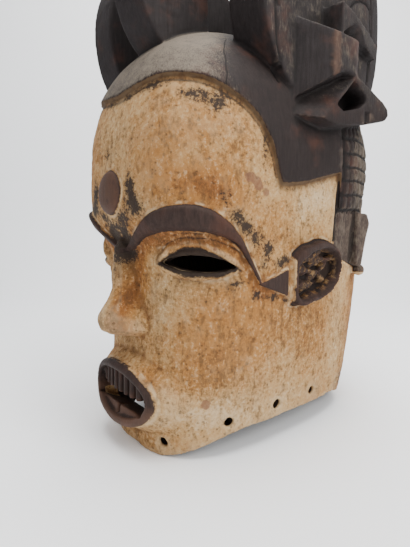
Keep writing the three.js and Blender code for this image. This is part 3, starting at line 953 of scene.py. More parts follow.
@dataclass(frozen=True)
class Ear:
    """Ears of both faces: a D-shaped one, and one seen edge-on."""

    CLAY_LUMPS: ClassVar[tuple] = (
        (8, 189, 22, 3.6, 0.24), (20, 184, 13, 5.0, 0.1), (45, 184, 13, 1.7, 0.02), (-6, 176, 14, 4.6, -0.1),
        (14, 170, 9, 4.2, 0.3), (-3, 160, 18, 5.0, 0.05), (30, 165, 8, 3.6, -0.4), (32, 177, 7, 3.0, 0.5),
    )
    middle_y: float = 18.0
    middle_z: float = 174.0
    outer_x: float = 113.0
    slope: float = 0.1
    rim: Profile = Profile([
        [-180, 41], [-161, 42.5], [-142, 48.4], [-114, 34], [-76, 29.8], [-35, 35.2], [-11, 41.8], [4, 44.1],
        [22, 42.2], [45, 36.8], [76, 32], [111, 31], [141, 38.4], [161, 42.4], [180, 41],
    ])
    bowl: Profile = Profile([
        [-180, 35.5], [-162, 37.5], [-143, 41.5], [-108, 26.2], [-63, 26.4], [-27, 33.5], [-5, 40], [8, 40.5],
        [25, 37.5], [49, 28.5], [100, 22.4], [143, 28.6], [162, 34.5], [180, 35.5],
    ])

    def outline(self, y: Points, z: Points, edge: Profile) -> Points:
        """About how far inside the ear's rim or bowl a place on the head's side is, negative outside it."""
        across, up = y - self.middle_y, z - self.middle_z
        return edge(np.degrees(np.arctan2(up, across))) - np.hypot(across, up)

    def slab(
        self, name: str, side: Side, edge: Profile, shrink: float, taper: float, inner: float, outer: float,
    ) -> Form:
        """Slab on the head's side within an outline.

        Args:
            name: Name of the form.
            side: Side of the head.
            edge: The outline, as reach by angle.
            shrink: How far it is drawn in from the outline.
            taper: How much further its outer side is drawn in.
            inner: X of its inner side.
            outer: X of its outer side.

        Returns:
            The slab.
        """

        def shape(p: Points) -> Points:
            """Places the slab's points within the outline."""
            a, b = on_disc(p)
            angle = np.arctan2(b, a)
            reach = np.hypot(a, b) * (edge(np.degrees(angle)) - shrink - taper * p[:, 2])
            y, z = self.middle_y + reach * np.cos(angle), self.middle_z + reach * np.sin(angle)
            drop = 8 * (1 - ease(y, -26, -6)) * p[:, 2]
            out = blend(inner, outer, p[:, 2]) - self.slope * (y - self.middle_y) - drop
            return joined(side.value * out, y, z)

        return Form.slab(f"{name}_{side.name}", 64, 64).move(shape)

    def clay(self, x: Points, y: Points, z: Points) -> Points:
        """Where old clay is left in the bowl, standing above its floor."""
        inside = ease(self.outline(y, z, self.bowl), 1.5, 4)
        return inside * ease(np.abs(x) - (self.outer_x - 13.6 - self.slope * (y - self.middle_y)), 0, 1.6)

    def first(self, side: Side) -> tuple[Form, Form]:
        """The first face's ear, as a form to add and a hollow to take from it."""
        plate = self.slab("ear", side, self.rim, -0.5, 2.5, 88, self.outer_x)
        hollow = self.slab("ear_hollow", side, self.bowl, 4.5, -7.0, self.outer_x - 15, self.outer_x + 5)
        return plate, hollow

    def debris(self, side: Side) -> list[Form]:
        """Lumps of old clay left in the ear's hollow."""

        def lump(p: Points, y: float, z: float, wide: float, tall: float, lean: float) -> Points:
            """Places a ball's points on one uneven lump."""
            out, along, up = p.T
            uneven = 1 + 0.3 * np.sin(4 * out + y) * np.cos(5 * up + z) + 0.18 * np.sin(9 * along + y)
            dy, dz = along * wide * uneven, up * tall * uneven * (1.1 - 0.5 * along)
            x = self.outer_x - 13 - self.slope * (y - self.middle_y) + out * 5.5
            return joined(side.value * x, y + dy, z + dz + lean * dy)

        return [
            Form.ball(f"ear_clay_{i}_{side.name}", 28, 18).move(lambda p, sizes=sizes: lump(p, *sizes))
            for i, sizes in enumerate(self.CLAY_LUMPS)
        ]

    def second(self, side: Side) -> list[Form]:
        """The second face's ear, seen edge-on: a tab with a bead below it."""
        corners = [[92, 176], [105, 172], [113, 206], [119, 222], [112, 234], [92, 236]]
        tab = Form.prism(f"tab_{side.name}", corners, 24, 3)
        tab.move(lambda p: joined(side.value * (82 + p[:, 2]), p[:, 0], p[:, 1]))
        bead = Form.ball(f"bead_{side.name}", 24, 16)
        bead.move(lambda p: p * 7 + np.array([side.value * 98, 110, 168]))
        return [tab, bead]


@dataclass(frozen=True)
class Crest:
    """Crest: a disc lobe on each side and a leaf over each face."""

    radius: float = 104.0
    left_set_back: float = 38.0
    right_set_forward: float = 20.0
    middle_z: float = 428.0
    inner_x: float = 60.0
    outer_x: float = 105.0
    middle_y: float = 8.0
    half_length: float = 190.0
    squareness: float = 3.2

    @staticmethod
    def near_edge(a: Points, b: Points) -> Points:
        """How worn a place on a disc is, from 0 to 1 at its very edge."""
        return np.clip((np.hypot(a, b) - 0.965) / 0.035, 0, 1) ** 2

    def lobe(self, set_back: float) -> Form:
        """Disc lobe, drawn in towards the head's front and back."""

        def shape(p: Points) -> Points:
            """Places the slab's points on the lobe."""
            a, b = on_disc(p)
            worn = 1.5 * self.near_edge(a, b)
            y = set_back + a * self.radius
            z = self.middle_z + b * self.radius
            along = np.abs(y - self.middle_y) / self.half_length
            outer = self.outer_x * (1 - along**self.squareness) ** (1 / self.squareness) - worn
            return joined(np.where(p[:, 2] > 0.5, outer, self.inner_x + worn), y, z)

        return Form.slab("lobe", 72, 72).move(shape)

    def horn(self, name: str, corners: list, low: Callable, high: Callable, bevel: float) -> Form:
        """Projection on a plan outline, with its heights given at each place."""

        height = 60

        def shape(p: Points) -> Points:
            """Places the prism's points between the two heights."""
            x, y, up = p.T
            return joined(x, y, blend(low(x, y), high(x, y), up / height))

        return Form.prism(name, corners, height, bevel).move(shape)

    def cup_horn(self) -> Form:
        """Large projection that sweeps out and back from the lobe's front."""

        def low(x: Points, y: Points) -> Points:
            """Height of the projection's underside."""
            behind = np.clip((89.4 - 0.683 * x + 0.73 * y) / 12, 0, 1)
            return blend(blend(330, 353, (x - 98) / 32), 362, behind)

        return self.horn(
            "cup_horn",
            [
                [84, -44], [101, -28], [116, -14], [131, 0], [132.4, 7], [132, 16],
                [130.5, 34], [126, 45], [120, 53], [104, 64], [84, 64],
            ],
            low, lambda x, y: blend(411, 394, (x - 98) / 32), 0.9,
        )

    def back_horn(self) -> Form:
        """Smaller pointed projection above and behind it."""
        foot = Profile([[14, 394], [34, 408], [46, 414], [62, 413], [79, 402], [112, 400]])
        return self.horn(
            "back_horn",
            [
                [84, 12], [96, 14.5], [112, 16], [126.5, 17], [125, 28], [123.5, 36], [122, 44],
                [120.5, 52], [118.5, 62], [116, 74], [112, 92], [107, 112], [84, 118],
            ],
            lambda x, y: foot(y), lambda x, y: blend(426, 416, (y - 14) / 100), 0.8,
        )

    def loop(self) -> tuple[Form, Form]:
        """Triangular loop below, as a form to add and an eye to take from it."""
        outer = [
            [-38, 323], [-14, 317], [10, 313.5], [60, 321], [100, 330.5], [106, 336], [105, 343],
            [94, 349], [70, 356.5], [40, 364.5], [30, 388], [-20, 380], [-38, 340],
        ]
        eye = [[11, 332], [39, 359], [50, 354], [60, 348], [60.5, 342], [51, 335], [22, 328]]

        def upright(p: Points, inner_x: float) -> Points:
            """Stands a flat outline up on the lobe's side."""
            return joined(inner_x + p[:, 2], p[:, 0], p[:, 1])

        loop = Form.prism("loop", outer, 38, 1.6).move(lambda p: upright(p, 90))
        hole = Form.prism("loop_eye", eye, 60, 0).move(lambda p: upright(p, 104.5))
        return loop.trimmed((0.617, -0.535, 0.577), 267), hole

    def leaf(self) -> Form:
        """Leaf of the crest that leans forward over a face."""

        thick, middle_y, middle_z, reach, height, back = 22, -86, 462, 56, 84, -57

        def shape(p: Points) -> Points:
            """Places the slab's points on the leaf."""
            a, b = on_disc(p)
            half = thick - 1.4 * self.near_edge(a, b)
            y = np.minimum(middle_y + a * reach, back)
            return joined(blend(-half, half, p[:, 2]), y, middle_z + b * height)

        return Form.slab("leaf", 56, 56).move(shape)


class Chart:
    """Where each point of the carving lies on the head, for relief and finish alike."""

    def __init__(self, head: Head, points: Points) -> None:
        """Reads the points' places.

        Args:
            head: The head's form.
            points: Places round the head's axis in millimetres, one row each.
        """
        self.head = head
        self.face = Face(head, False)
        self.x, self.y, self.z = points.T
        self.points = points
        self.angle = np.arctan2(self.x, -self.y)
        self.degrees = np.degrees(np.abs(self.angle))
        self.off = np.hypot(self.x, self.y) - head.radius(self.angle, self.z)
        self.is_back = self.degrees > 90
        turn = np.where(self.is_back, math.pi - np.abs(self.angle), np.abs(self.angle))
        self.spread = np.where(self.is_back, SECOND_SPREAD, 1.0)
        self.s = head.arc * turn / self.spread
        self.around = head.arc * np.abs(self.angle)
        above_cap = np.hypot(self.x, self.y) - head.radius(self.angle, self.z - 6)
        self.crest = ease(self.z, 330, 350) * ease(np.where(self.z > 416, 9.0, above_cap), 1.5, 5)
        self.outside = ease(self.off, -6, -3)

    def hair(self) -> Points:
        """Distance inside the hair's edge, negative on the faces."""
        step, inside_crest = 0.02, 30.0
        edge = self.head.hair_edge(self.angle)
        rise = self.head.hair_edge(self.angle + step) - self.head.hair_edge(self.angle - step)
        slope = np.clip(rise / (2 * step) / self.head.arc, -6, 6)
        near = (self.z - edge) / np.sqrt(1 + slope * slope)
        return np.where(self.crest > 0.5, inside_crest, near)

    def brow(self) -> Points:
        """Distance inside the brows, negative outside them."""
        low, high = self.face.brow_edges(self.s)
        low_next, high_next = self.face.brow_edges(self.s + 1)
        above = (high - self.z) / np.hypot(1, high_next - high)
        below = (self.z - low) / np.hypot(1, low_next - low)
        return np.minimum(np.minimum(above, below), np.minimum(self.s - 2, 179 - self.s))

    def boss(self) -> Points:
        """Distance inside the forehead's boss and its foot."""
        return self.face.boss_radius + 0.5 - np.hypot(self.x, self.z - self.face.boss_height)

    def lips(self) -> Points:
        """Distance inside the lips' outer edge, the open mouth counted in."""
        face = self.face
        up = self.z - face.mouth_middle
        wide = face.mouth_width * np.sqrt(self.spread)
        q = np.maximum(np.hypot(self.x / wide, up / face.mouth_height), 0.15)
        reach = np.minimum(np.hypot(self.x, up) * (1 / q - 1) + 5.0, 20)
        depth = np.where(self.is_back, self.head.back_depth(self.z), self.head.front_depth(self.z))
        behind = depth + 15 - face.mouth_bow * self.x**2 - np.abs(self.y)
        reach = np.where(q > 0.94, np.minimum(reach, 2.5 - behind), reach)
        return np.where(self.off > -30, reach, AWAY)

    def pointer(self) -> Points:
        """Distance inside the triangle between brow and ear."""
        t = (self.s - 175) / 50
        inside = np.minimum(self.z - blend(165, 152, t), blend(167.5, 178, t) - self.z)
        inside = np.minimum(inside, np.minimum(225 - self.s, self.s - 173))
        return np.where(self.is_back, AWAY, inside)

    def ear(self) -> Points:
        """Distance inside the first face's ears."""
        ear = Ear()
        depth = ear.outline(self.y, self.z, ear.rim) + 1.0
        depth = np.where(self.y < 0, np.minimum(depth, self.y + 20.5), depth)
        return np.where((np.abs(self.x) > 80) & (self.off > -8), depth, AWAY)

    def tab(self) -> Points:
        """Distance inside the second face's ears."""
        depth = np.minimum.reduce([240 - self.z, self.z - 166, 130 - self.y, self.off + 4])
        strip = np.minimum(self.around - self.head.seam_arc - 3, self.z - 176 + 0.3 * (self.y - 90))
        return np.minimum(depth, np.maximum(strip, np.minimum(self.off - 1.6, self.y - 88)))

    def seam(self) -> Points:
        """Distance inside the groove behind the first face's side."""
        across = 4.6 - np.abs(self.around - self.head.seam_arc - 3.6)
        return np.minimum.reduce([across, self.z - 203, 334 - self.z])

    def above(self, line: Profile) -> Points:
        """Distance above a line given as heights by arc length, negative below it."""
        slope = (line(self.s + 1) - line(self.s - 1)) / 2
        return (self.z - line(self.s)) / np.hypot(1, slope)

    def bands(self, cuts: Sequence[tuple[Profile, float, float, float]]) -> list[Points]:
        """Strength of bands that follow lines, each given as line, place above it, width and strength."""
        return [strength * hump(self.above(line), place, width) for line, place, width, strength in cuts]

    def in_eye_band(self) -> Points:
        """Whether a point is at the height of the eyes' folds."""
        return (self.z > EYE_BAND[0]) & (self.z < EYE_BAND[1])

    def lid(self) -> Points:
        """Distance inside the cut-back rim round the eye slits."""
        return np.minimum.reduce([-self.above(LID_TOP), self.above(LID_FOOT), self.s - 57, 150 - self.s])

    def grid_cells(self) -> tuple[Points, Points]:
        """How deep a point is in the grid's grooves, and how far it is inside the grid."""
        wide, tall = 12, 15
        along = self.around - self.head.seam_arc - 9
        wave = 0.06 * np.sin(self.z * 0.09) + 0.05 * np.sin(self.around * 0.11)
        column = (along - 1.3) / wide + wave
        row = (self.z - 237) / tall + wave
        across, up = np.abs(column - np.round(column)) * wide, np.abs(row - np.round(row)) * tall
        depth = np.maximum(hump(across, 0, 2.2), hump(up, 0, 2.1))
        inside = np.minimum.reduce([along + 6, 78 - along, self.z - 232, 336 - self.z])
        inside = np.where(np.abs(self.off - 3) < 9, inside, AWAY)
        return depth * ease(inside, -1, 2), inside

    def to_line(self, line: Sequence[Sequence[float]], turn: int) -> Points:
        """Distance from a line of [y, z] places on a lobe's outer side."""
        y, nearest = self.y * turn, np.full(len(self.x), 99.0)
        for (y0, z0), (y1, z1) in zip(line[:-1], line[1:]):
            span = (y1 - y0) ** 2 + (z1 - z0) ** 2
            t = np.clip(((y - y0) * (y1 - y0) + (self.z - z0) * (z1 - z0)) / span, 0, 1)
            nearest = np.minimum(nearest, np.hypot(y - blend(y0, y1, t), self.z - blend(z0, z1, t)))
        return nearest

    def lobe_lines(self) -> Points:
        """Depth of the grooves carved on the lobes' outer sides."""
        width = 1.7
        depth = np.zeros(len(self.x))
        for turn, back in ((1, 0.0), (-1, -18.0)):
            y = self.y * turn - back
            on_side = plateau(self.x * turn, (74, 82), (107, 109)) * (self.z > 336)
            rim = hump(np.hypot(y - 32, self.z - 430), 82, width) * (self.z > 408)
            lines = [hump(self.to_line(line, turn), 0, width) for line in LOBE_LINES]
            depth = np.maximum(depth, np.maximum.reduce([rim, *lines]) * on_side)
        return depth

    def bare(self) -> Points:
        """Distance inside the bare wood, negative in the clay coat."""
        middle = np.where(np.abs(self.x) < 60, np.maximum(self.boss(), self.lips()), AWAY)
        zones = [middle, self.hair(), self.brow(), self.pointer(), self.ear(), self.tab(), self.seam()]
        return np.clip(np.maximum.reduce([*zones, self.grid_cells()[1] + 0.5, -self.off - 3.5]), -40, 40)


class Patina:
    """Where the clay coat is stained, blackened or worn, and where painted shade darkens it, as seen on the
    first face.
    """

    SOOT = (
        (20, 228, 12, 7, 0.9), (4, 200, 12, 9, 0.9), (14, 213, 10, 9, 0.7), (10, 190, 10, 8, 0.5),
        (36, 252, 9, 14, 1.0), (44, 236, 12, 8, 1.0), (2, 283, 12, 8, 0.55), (0, 219, 12, 9, 0.7),
        (100, 327, 16, 8, 0.75), (122, 319, 12, 9, 0.85), (55, 337, 22, 5, 0.6), (18, 334, 16, 5, 0.6),
        (142, 229, 10, 7, 0.8), (153, 219, 10, 8, 0.95), (167, 208, 10, 8, 0.85), (188, 199, 9, 8, 1.0),
        (180, 184, 9, 9, 0.75), (222, 188, 8, 6, 0.9), (208, 184, 10, 7, 0.9), (169, 156, 10, 6, 0.85),
        (199, 152, 12, 5, 0.85), (142, 168, 12, 5, 0.8), (226, 147, 6, 5, 0.8), (130, 243, 9, 7, 0.6),
        (12, 208, 8, 8, 0.6), (150, 330, 14, 10, 0.5), (5, 188, 12, 12, 0.15), (16, 197, 11, 7, 0.3),
        (3, 176, 6, 12, 0.3), (176, 290, 7, 22, 0.5), (62, 160, 9, 6, 0.35),
    )
    OCHRE = (
        (84, 256, 34, 16, 0.9), (114, 254, 28, 18, 0.9), (66, 283, 34, 22, 0.4), (132, 244, 22, 14, 0.7),
        (60, 211, 30, 7, 1.3), (110, 207, 34, 5, 1.0), (28, 187, 7, 26, 1.3), (12, 150, 9, 22, 1.2),
        (118, 146, 30, 20, 0.5), (108, 98, 34, 30, 0.8), (47, 74, 12, 16, 1.0), (108, 296, 40, 26, 0.25),
        (150, 122, 40, 34, 0.6), (186, 160, 28, 16, 0.6), (200, 225, 34, 26, 0.4), (210, 130, 46, 36, 0.35),
        (305, 110, 50, 70, 0.4), (15, 140, 6, 16, 1.2), (17, 124, 8, 8, 1.5), (20, 172, 6, 14, 0.9),
    )
    PALE = (
        (62, 156, 16, 26, 0.4), (86, 45, 50, 22, 0.7), (299, 248, 44, 26, 1.1), (250, 240, 26, 26, 0.7),
        (140, 45, 46, 22, 0.6), (276, 60, 80, 40, 0.3), (99, 273, 22, 16, 0.4), (-6, 308, 30, 30, 0.5),
        (220, 40, 60, 24, 0.5), (190, 258, 30, 26, 0.5), (2, 136, 7, 26, 0.7),
    )
    # Spots of brown grime, and of painted shade under the brows, round the eyes and at the nose root.
    GRIME = (
        (98, 207, 46, 8, 0.9), (58, 192, 10, 12, 0.9), (148, 184, 13, 9, 0.8), (100, 172, 46, 6, 0.7),
        (8, 176, 10, 20, 0.7), (10, 126, 12, 12, 0.35), (8, 300, 34, 22, 0.5), (108, 82, 42, 30, 0.45),
        (160, 64, 44, 24, 0.4), (206, 126, 24, 30, 0.4), (18, 16, 44, 14, 0.6), (56, 60, 12, 34, 0.5),
        (48, 110, 12, 10, 0.4), (240, 96, 30, 50, 0.35), (150, 296, 30, 26, 0.4), (226, 212, 22, 22, 0.35),
        (100, 160, 44, 12, 0.5), (12, 104, 20, 12, 0.8), (48, 142, 20, 26, 0.6), (4, 128, 9, 12, 0.5),
        (6, 190, 14, 14, 1.0), (30, 238, 22, 18, 0.5), (120, 222, 40, 8, 0.3), (62, 246, 40, 6, 0.4),
        (290, 130, 40, 60, 0.4),
    )
    SPOTS = (
        (157, 262, 8, 5, 1.0), (168, 256, 6, 7, 1.0), (181, 249, 6, 5, 0.9), (108, 57, 6, 6, 1.0),
        (120, 200, 5, 3, 0.6), (30, 100, 14, 9, 0.5), (62, 96, 10, 9, 0.5),
    )

    def __init__(self, chart: Chart) -> None:
        """Keeps the chart of the points that are finished."""
        self.chart = chart

    def spread(self, spots: Sequence[Sequence[float]]) -> Points:
        """Sum of soft spots.

        Args:
            spots: Arc length, height, half width, half height and strength of each.

        Returns:
            Strength at each point.
        """
        c = self.chart
        total = np.zeros(len(c.x))
        for s, z, wide, tall, strength in spots:
            total += strength * np.exp(-(((c.around - s) / wide) ** 2) - ((c.z - z) / tall) ** 2)
        return total

    def second_face(self, seed: int, size: float) -> Points:
        """Plain blotches for the sides that the photograph doesn't show."""
        blotches = np.clip(Grain(seed)(self.chart.points, size) * 1.2, -1, 1)
        return blotches * ease(self.chart.degrees, 105, 135)

    def soot(self) -> Points:
        """Black smudges."""
        c = self.chart
        hem = hump(c.hair(), -5, 5) * 0.30 + hump(c.brow(), -4, 4) * 0.22 + hump(c.pointer(), -3, 3) * 0.15
        hem = hem * ease(Grain(5)(c.points, 26), -0.3, 0.8) * 1.6
        second = np.clip(self.second_face(7, 34) - 0.35, 0, 1)
        return np.clip(self.spread(self.SOOT) + hem + second, 0, 1.4)

    def tint(self) -> Points:
        """Orange stain, positive, against pale clay, negative."""
        c = self.chart
        stains = self.spread(self.OCHRE) - 0.8 * self.spread(self.PALE)
        low, high = c.face.brow_edges(c.s)
        under = 1.3 * hump(c.brow(), -6, 6) * (c.z < 0.5 * (low + high)) * (c.s > 14)
        return np.clip(stains + under + 0.7 * self.second_face(11, 60), -1.5, 1.5)

    def grime(self) -> Points:
        """Brown dirt worked into the clay, and painted shade under the brows, round the eyes and at the nose
        root.
        """
        second = np.clip(self.second_face(15, 30), 0, 1) * 0.6
        return np.clip(self.spread(self.GRIME) + second, 0, 1.2)

    def spots(self) -> Points:
        """Reddish brown chips."""
        return np.clip(self.spread(self.SPOTS), 0, 1.2)


@dataclass
class Mask:
    """The whole carved mask."""

    head: Head = field(default_factory=Head)
    ear: Ear = field(default_factory=Ear)
    crest: Crest = field(default_factory=Crest)
    voxel: float = 1.3
    triangles: int = 195_000
    grid_depth: float = 2.2
    seam_depth: float = 2.4
    line_depth: float = 1.9
    hem_depth: float = 0.7
    flake_depth: float = 0.8
    clay_grain: float = 0.35

    def carve(self) -> Block:
        """Carves the mask's solid form.

        Returns:
            The block with every form added and taken away.
        """
        block = Block(self.head.solid())
        faces = (Face(self.head, False), Face(self.head, True))
        for face in faces:
            block.carve(Cut.ADD, face.nose(), face.muzzle(), face.boss())
            for side in Side:
                block.carve(Cut.ADD, face.brow(side), face.lids(side))
                if not face.is_back:
                    block.carve(Cut.ADD, face.pointer(side), face.temple_strip(side))
        for side in Side:
            plate, hollow = self.ear.first(side)
            block.carve(Cut.ADD, plate)
            block.carve(Cut.TAKE, hollow)
            block.carve(Cut.ADD, *self.ear.debris(side), *self.ear.second(side))
        LOG.info("faces and ears carved")
        self.add_crest(block)
        for face in faces:
            block.carve(Cut.ADD, face.lips())
            block.carve(Cut.TAKE, face.mouth_recess())
            block.carve(Cut.ADD, *face.teeth())
        block.carve(Cut.TAKE, self.head.hollow(), *[face.mouth_slit() for face in faces])
        block.carve(Cut.TAKE, *[face.eye_slit(side) for face in faces for side in Side])
        block.carve(Cut.TAKE, *self.head.lacing_holes())
        LOG.info("block carved: %d faces", len(block.object.data.polygons))
        return block

    def add_crest(self, block: Block) -> None:
        """Adds the lobes with their ornaments, and the leaves."""
        crest = self.crest
        for set_back, turned in ((crest.left_set_back, False), (crest.right_set_forward, True)):
            loop, eye = crest.loop()
            adds = [crest.lobe(set_back), crest.cup_horn(), crest.back_horn(), loop]
            if turned:
                adds, eye = [form.turned_round() for form in adds], eye.turned_round()
            block.carve(Cut.ADD, *adds)
            block.carve(Cut.TAKE, eye)
        leaf = crest.leaf()
        block.carve(Cut.ADD, leaf, leaf.turned_round())

    def relief(self, block: Block) -> None:
        """Carves the fine relief into the even skin."""
        points, normals = block.points(), block.normals()
        chart = Chart(self.head, points)
        bare = chart.bare()
        grooves = self.grid_depth * chart.grid_cells()[0] + self.line_depth * chart.lobe_lines()
        grooves += self.seam_depth * ease(chart.seam(), -0.6, 1.4) * ease(chart.off, -9, -5)
        flakes = np.maximum(Grain(9)(points, 7.0) + 0.6 * Grain(10)(points, 3.6) - 0.55, 0)
        clay = self.clay_grain * Grain(12)(points, 4.2) - self.flake_depth * flakes
        broad = Grain(3)(points, 46.0) * 0.55 + Grain(4)(points, 17.0) * 0.22
        lipped = self.clay_grain * hump(bare, -1.8, 1.6) * ease(Grain(13)(points, 9.0), -0.5, 0.5)
        hem = self.hem_depth * hump(chart.hair(), HEM_LINE, 1.4) * (chart.degrees < HEM_SIDE)
        worked = self.lid_folds(chart) + self.tool_marks(chart) + broad + lipped - hem
        push = (worked + clay * ease(-bare, 0.0, 1.5)) * chart.outside - grooves
        block.shift(points + normals * push[:, None])

    def lid_folds(self, chart: Chart) -> Points:
        """Height of the folds and cut lines round the eyes."""
        along = plateau(chart.s, (52, 64), (146, 160)) * chart.in_eye_band() * (chart.off > -3)
        ridges = (
            (FOLD, -1.2, 3.0, 1.9), (LID_TOP, 0, 1.5, -1.4), (CREASE, 0.6, 1.2, -1.0),
            (CREASE, 4.4, 1.2, -0.7), (LID_FOOT, 0.6, 2.2, 0.9), (LOW_CREASE, 0, 1.4, -0.9),
        )
        return along * np.sum(chart.bands(ridges), axis=0)

    def tool_marks(self, chart: Chart) -> Points:
        """Shallow facets that the adze left on the crest and the cap's sides."""
        turned = chart.points * np.array([0.7, 0.35, 1.0])
        crest = 0.55 * np.abs(Grain(21)(turned, 9.0))
        cap = 0.25 * np.abs(Grain(22)(turned, 12.0)) * ease(chart.hair(), 2, 8)
        return -blend(cap, crest, chart.crest)

    def importance(self, block: Block) -> Points:
        """How much each point's detail matters when the skin is thinned."""
        chart = Chart(self.head, block.points())
        keep = 0.25 + 0.55 * ease(-np.abs(chart.bare()), -7, -1)
        keep = np.where(chart.is_back, keep * 0.6, keep)
        mouth = (np.abs(chart.x) < 45) & (chart.y < -100) & (chart.z < 100)
        eyes = (chart.s > 50) & (chart.s < 165) & (chart.z > 168) & (chart.z < 212) & ~chart.is_back
        ears = (np.abs(chart.x) > 96) & (chart.z < 215) & (chart.z > 120)
        keep = np.select([ears, mouth | eyes], [0.7, 0.9], keep)
        return keep * chart.outside

    def stand_for_finish(self, block: Block) -> None:
        """Stores what the finish reads at each point."""
        chart = Chart(self.head, block.points())
        patina = Patina(chart)
        marks = {
            "bare": chart.bare(),
            "soot": patina.soot(),
            "tint": patina.tint(),
            "chip": patina.spots(),
            "grime": patina.grime(),
            "grooves": np.maximum(chart.grid_cells()[0], chart.lobe_lines()),
            "hair": ease(chart.hair(), -1, 1.5) * (1 - ease(-chart.off, 4, 8)),
            "hollow": ease(-chart.off, 4, 9) * (1 - ease(chart.z, 404, 410)),
            "ear": self.ear.clay(chart.x, chart.y, chart.z),
            "lines": self.cut_lines(chart),
            "cavity": self.cavity(block),
            "dust": self.dust(chart, block.normals()),
            "crest": chart.crest,
            "hem": -chart.hair(),
            "lid": np.where(chart.off > -12, chart.lid(), -9),
            "handled": self.handled(chart),
            "crack": self.crack(chart),
            "wear": self.edge_wear(block),
        }
        for name, values in marks.items():
            block.mark(name, values)

    def cut_lines(self, chart: Chart) -> Points:
        """How near each point is to a cut line round the eyes or below the cap."""
        along = plateau(chart.s, (54, 66), (146, 158)) * chart.in_eye_band()
        cuts = (
            (LID_TOP, 0.3, 1.3, 1.0), (CREASE, 0.6, 1.0, 0.8), (CREASE, 4.4, 1.0, 0.7),
            (CREASE, 8.0, 1.0, 0.45), (LOW_CREASE, 0, 1.2, 0.6), (LOW_CREASE, -4.5, 1.0, 0.4),
        )
        lids = np.maximum.reduce(chart.bands(cuts))
        hem = 0.9 * hump(chart.hair(), HEM_LINE, 1.3) * (chart.degrees < HEM_SIDE)
        return np.maximum(lids * along, hem) * chart.outside

    def cavity(self, block: Block) -> Points:
        """How deep each point lies in a broad hollow, against the surface some millimetres round it."""
        points, mean = block.points(), block.neighbour_mean()
        middle = points
        for _ in range(14):
            middle = blend(middle, joined(*map(mean, middle.T)), 0.8)
        depth = np.einsum("ij,ij->i", middle - points, block.normals())
        return np.clip(depth / 1.6, -1, 1)

    def dust(self, chart: Chart, normals: Points) -> Points:
        """Pale dust on the cap above each forehead, thicker where it faces up, and on the crest a thin pale
        layer on what faces up or outwards, which is painted sheen.
        """
        border = Profile([
            [300, 176], [308, 169], [321, 160], [331, 150], [342, 140], [355, 134], [426, 134],
        ])
        near = np.where(chart.is_back, self.head.arc * math.pi - chart.around, chart.around)
        sideways, up = np.abs(normals[:, 0]), normals[:, 2]
        cap = 1 - ease(near - border(chart.z), -40, 14)
        cap *= 0.62 + 0.38 * ease(up, 0.1, 0.8)
        cap *= 1 - ease(chart.z, 378, 388) * (1 - ease(up, 0.2, 0.5))
        # Painted sheen: the crest's outward- and upward-facing sides get the pale layer.
        outer = 0.26 * ease(sideways, 0.8, 0.98) * ease(np.abs(chart.x), 98, 103) * ease(up, -0.35, 0.0)
        top = 0.38 * ease(up, 0.2, 0.9)
        cap = np.maximum(cap * (1 - chart.crest), np.maximum(outer, top) * chart.crest)
        tab = ease(chart.tab(), -1, 1.5) * 0.5
        return np.maximum(cap * ease(chart.hair(), -1, 1.5), tab)

    def handled(self, chart: Chart) -> Points:
        """Where hands rubbed the wood brown: the bosses, the lower lips and the large projections' edge."""
        lips = ease(chart.lips(), -1, 1) * ease(chart.face.mouth_middle - chart.z, -8, 12) * 0.9
        boss = ease(chart.boss(), -1, 2) * (np.abs(chart.x) < 30) * 0.7
        turn = np.sign(chart.x)
        edge = hump(chart.y * turn, 3, 6) * ease(chart.x * turn, 126, 130)
        edge *= (chart.z > 345) & (chart.z < 399)
        tab = ease(chart.tab(), -1, 2) * 0.2
        return np.maximum.reduce([lips * (chart.z < 100), boss, edge * 0.8, tab])

    def crack(self, chart: Chart) -> Points:
        """Distance from the drying crack in the cap."""
        foot, top, away = 322, 392, 9.0
        line = 133 - 0.148 * (chart.z - 321) + 0.9 * np.sin(chart.z * 0.13) + 0.5 * np.sin(chart.z * 0.37)
        return np.where((chart.x > 0) & (chart.z > foot) & (chart.z < top), chart.around - line, away)

    def edge_wear(self, block: Block) -> Points:
        """How sharply each point stands out, positive on edges and negative in hollows."""
        points, mean = block.points(), block.neighbour_mean()
        out = points - joined(*map(mean, points.T))
        size = mean(np.linalg.norm(out, axis=1)) + 1.2
        bend = np.einsum("ij,ij->i", out, block.normals()) / size
        for _ in range(2):
            bend = 0.5 * bend + 0.5 * mean(bend)
        return np.clip(bend * 2.5, -1, 1)

    def build(self) -> bpy.types.Object:
        """Carves, details and places the mask.

        Returns:
            The finished object, in metres in the row frame.
        """
        block = self.carve()
        block.even_out(self.voxel, 1)
        LOG.info("even skin: %d faces", len(block.object.data.polygons))
        self.relief(block)
        block.thin_out(self.triangles, self.importance(block))
        self.stand_for_finish(block)
        shift = Matrix.Scale(MILLIMETRE, 4) @ Matrix.Translation((0, HEAD_AXIS_Y, 0))
        block.object.data.transform(shift)
        block.object.data.shade_smooth()
        block.object.name = "carved_mask"
        block.object.data.name = "carved_mask"
        return block.object


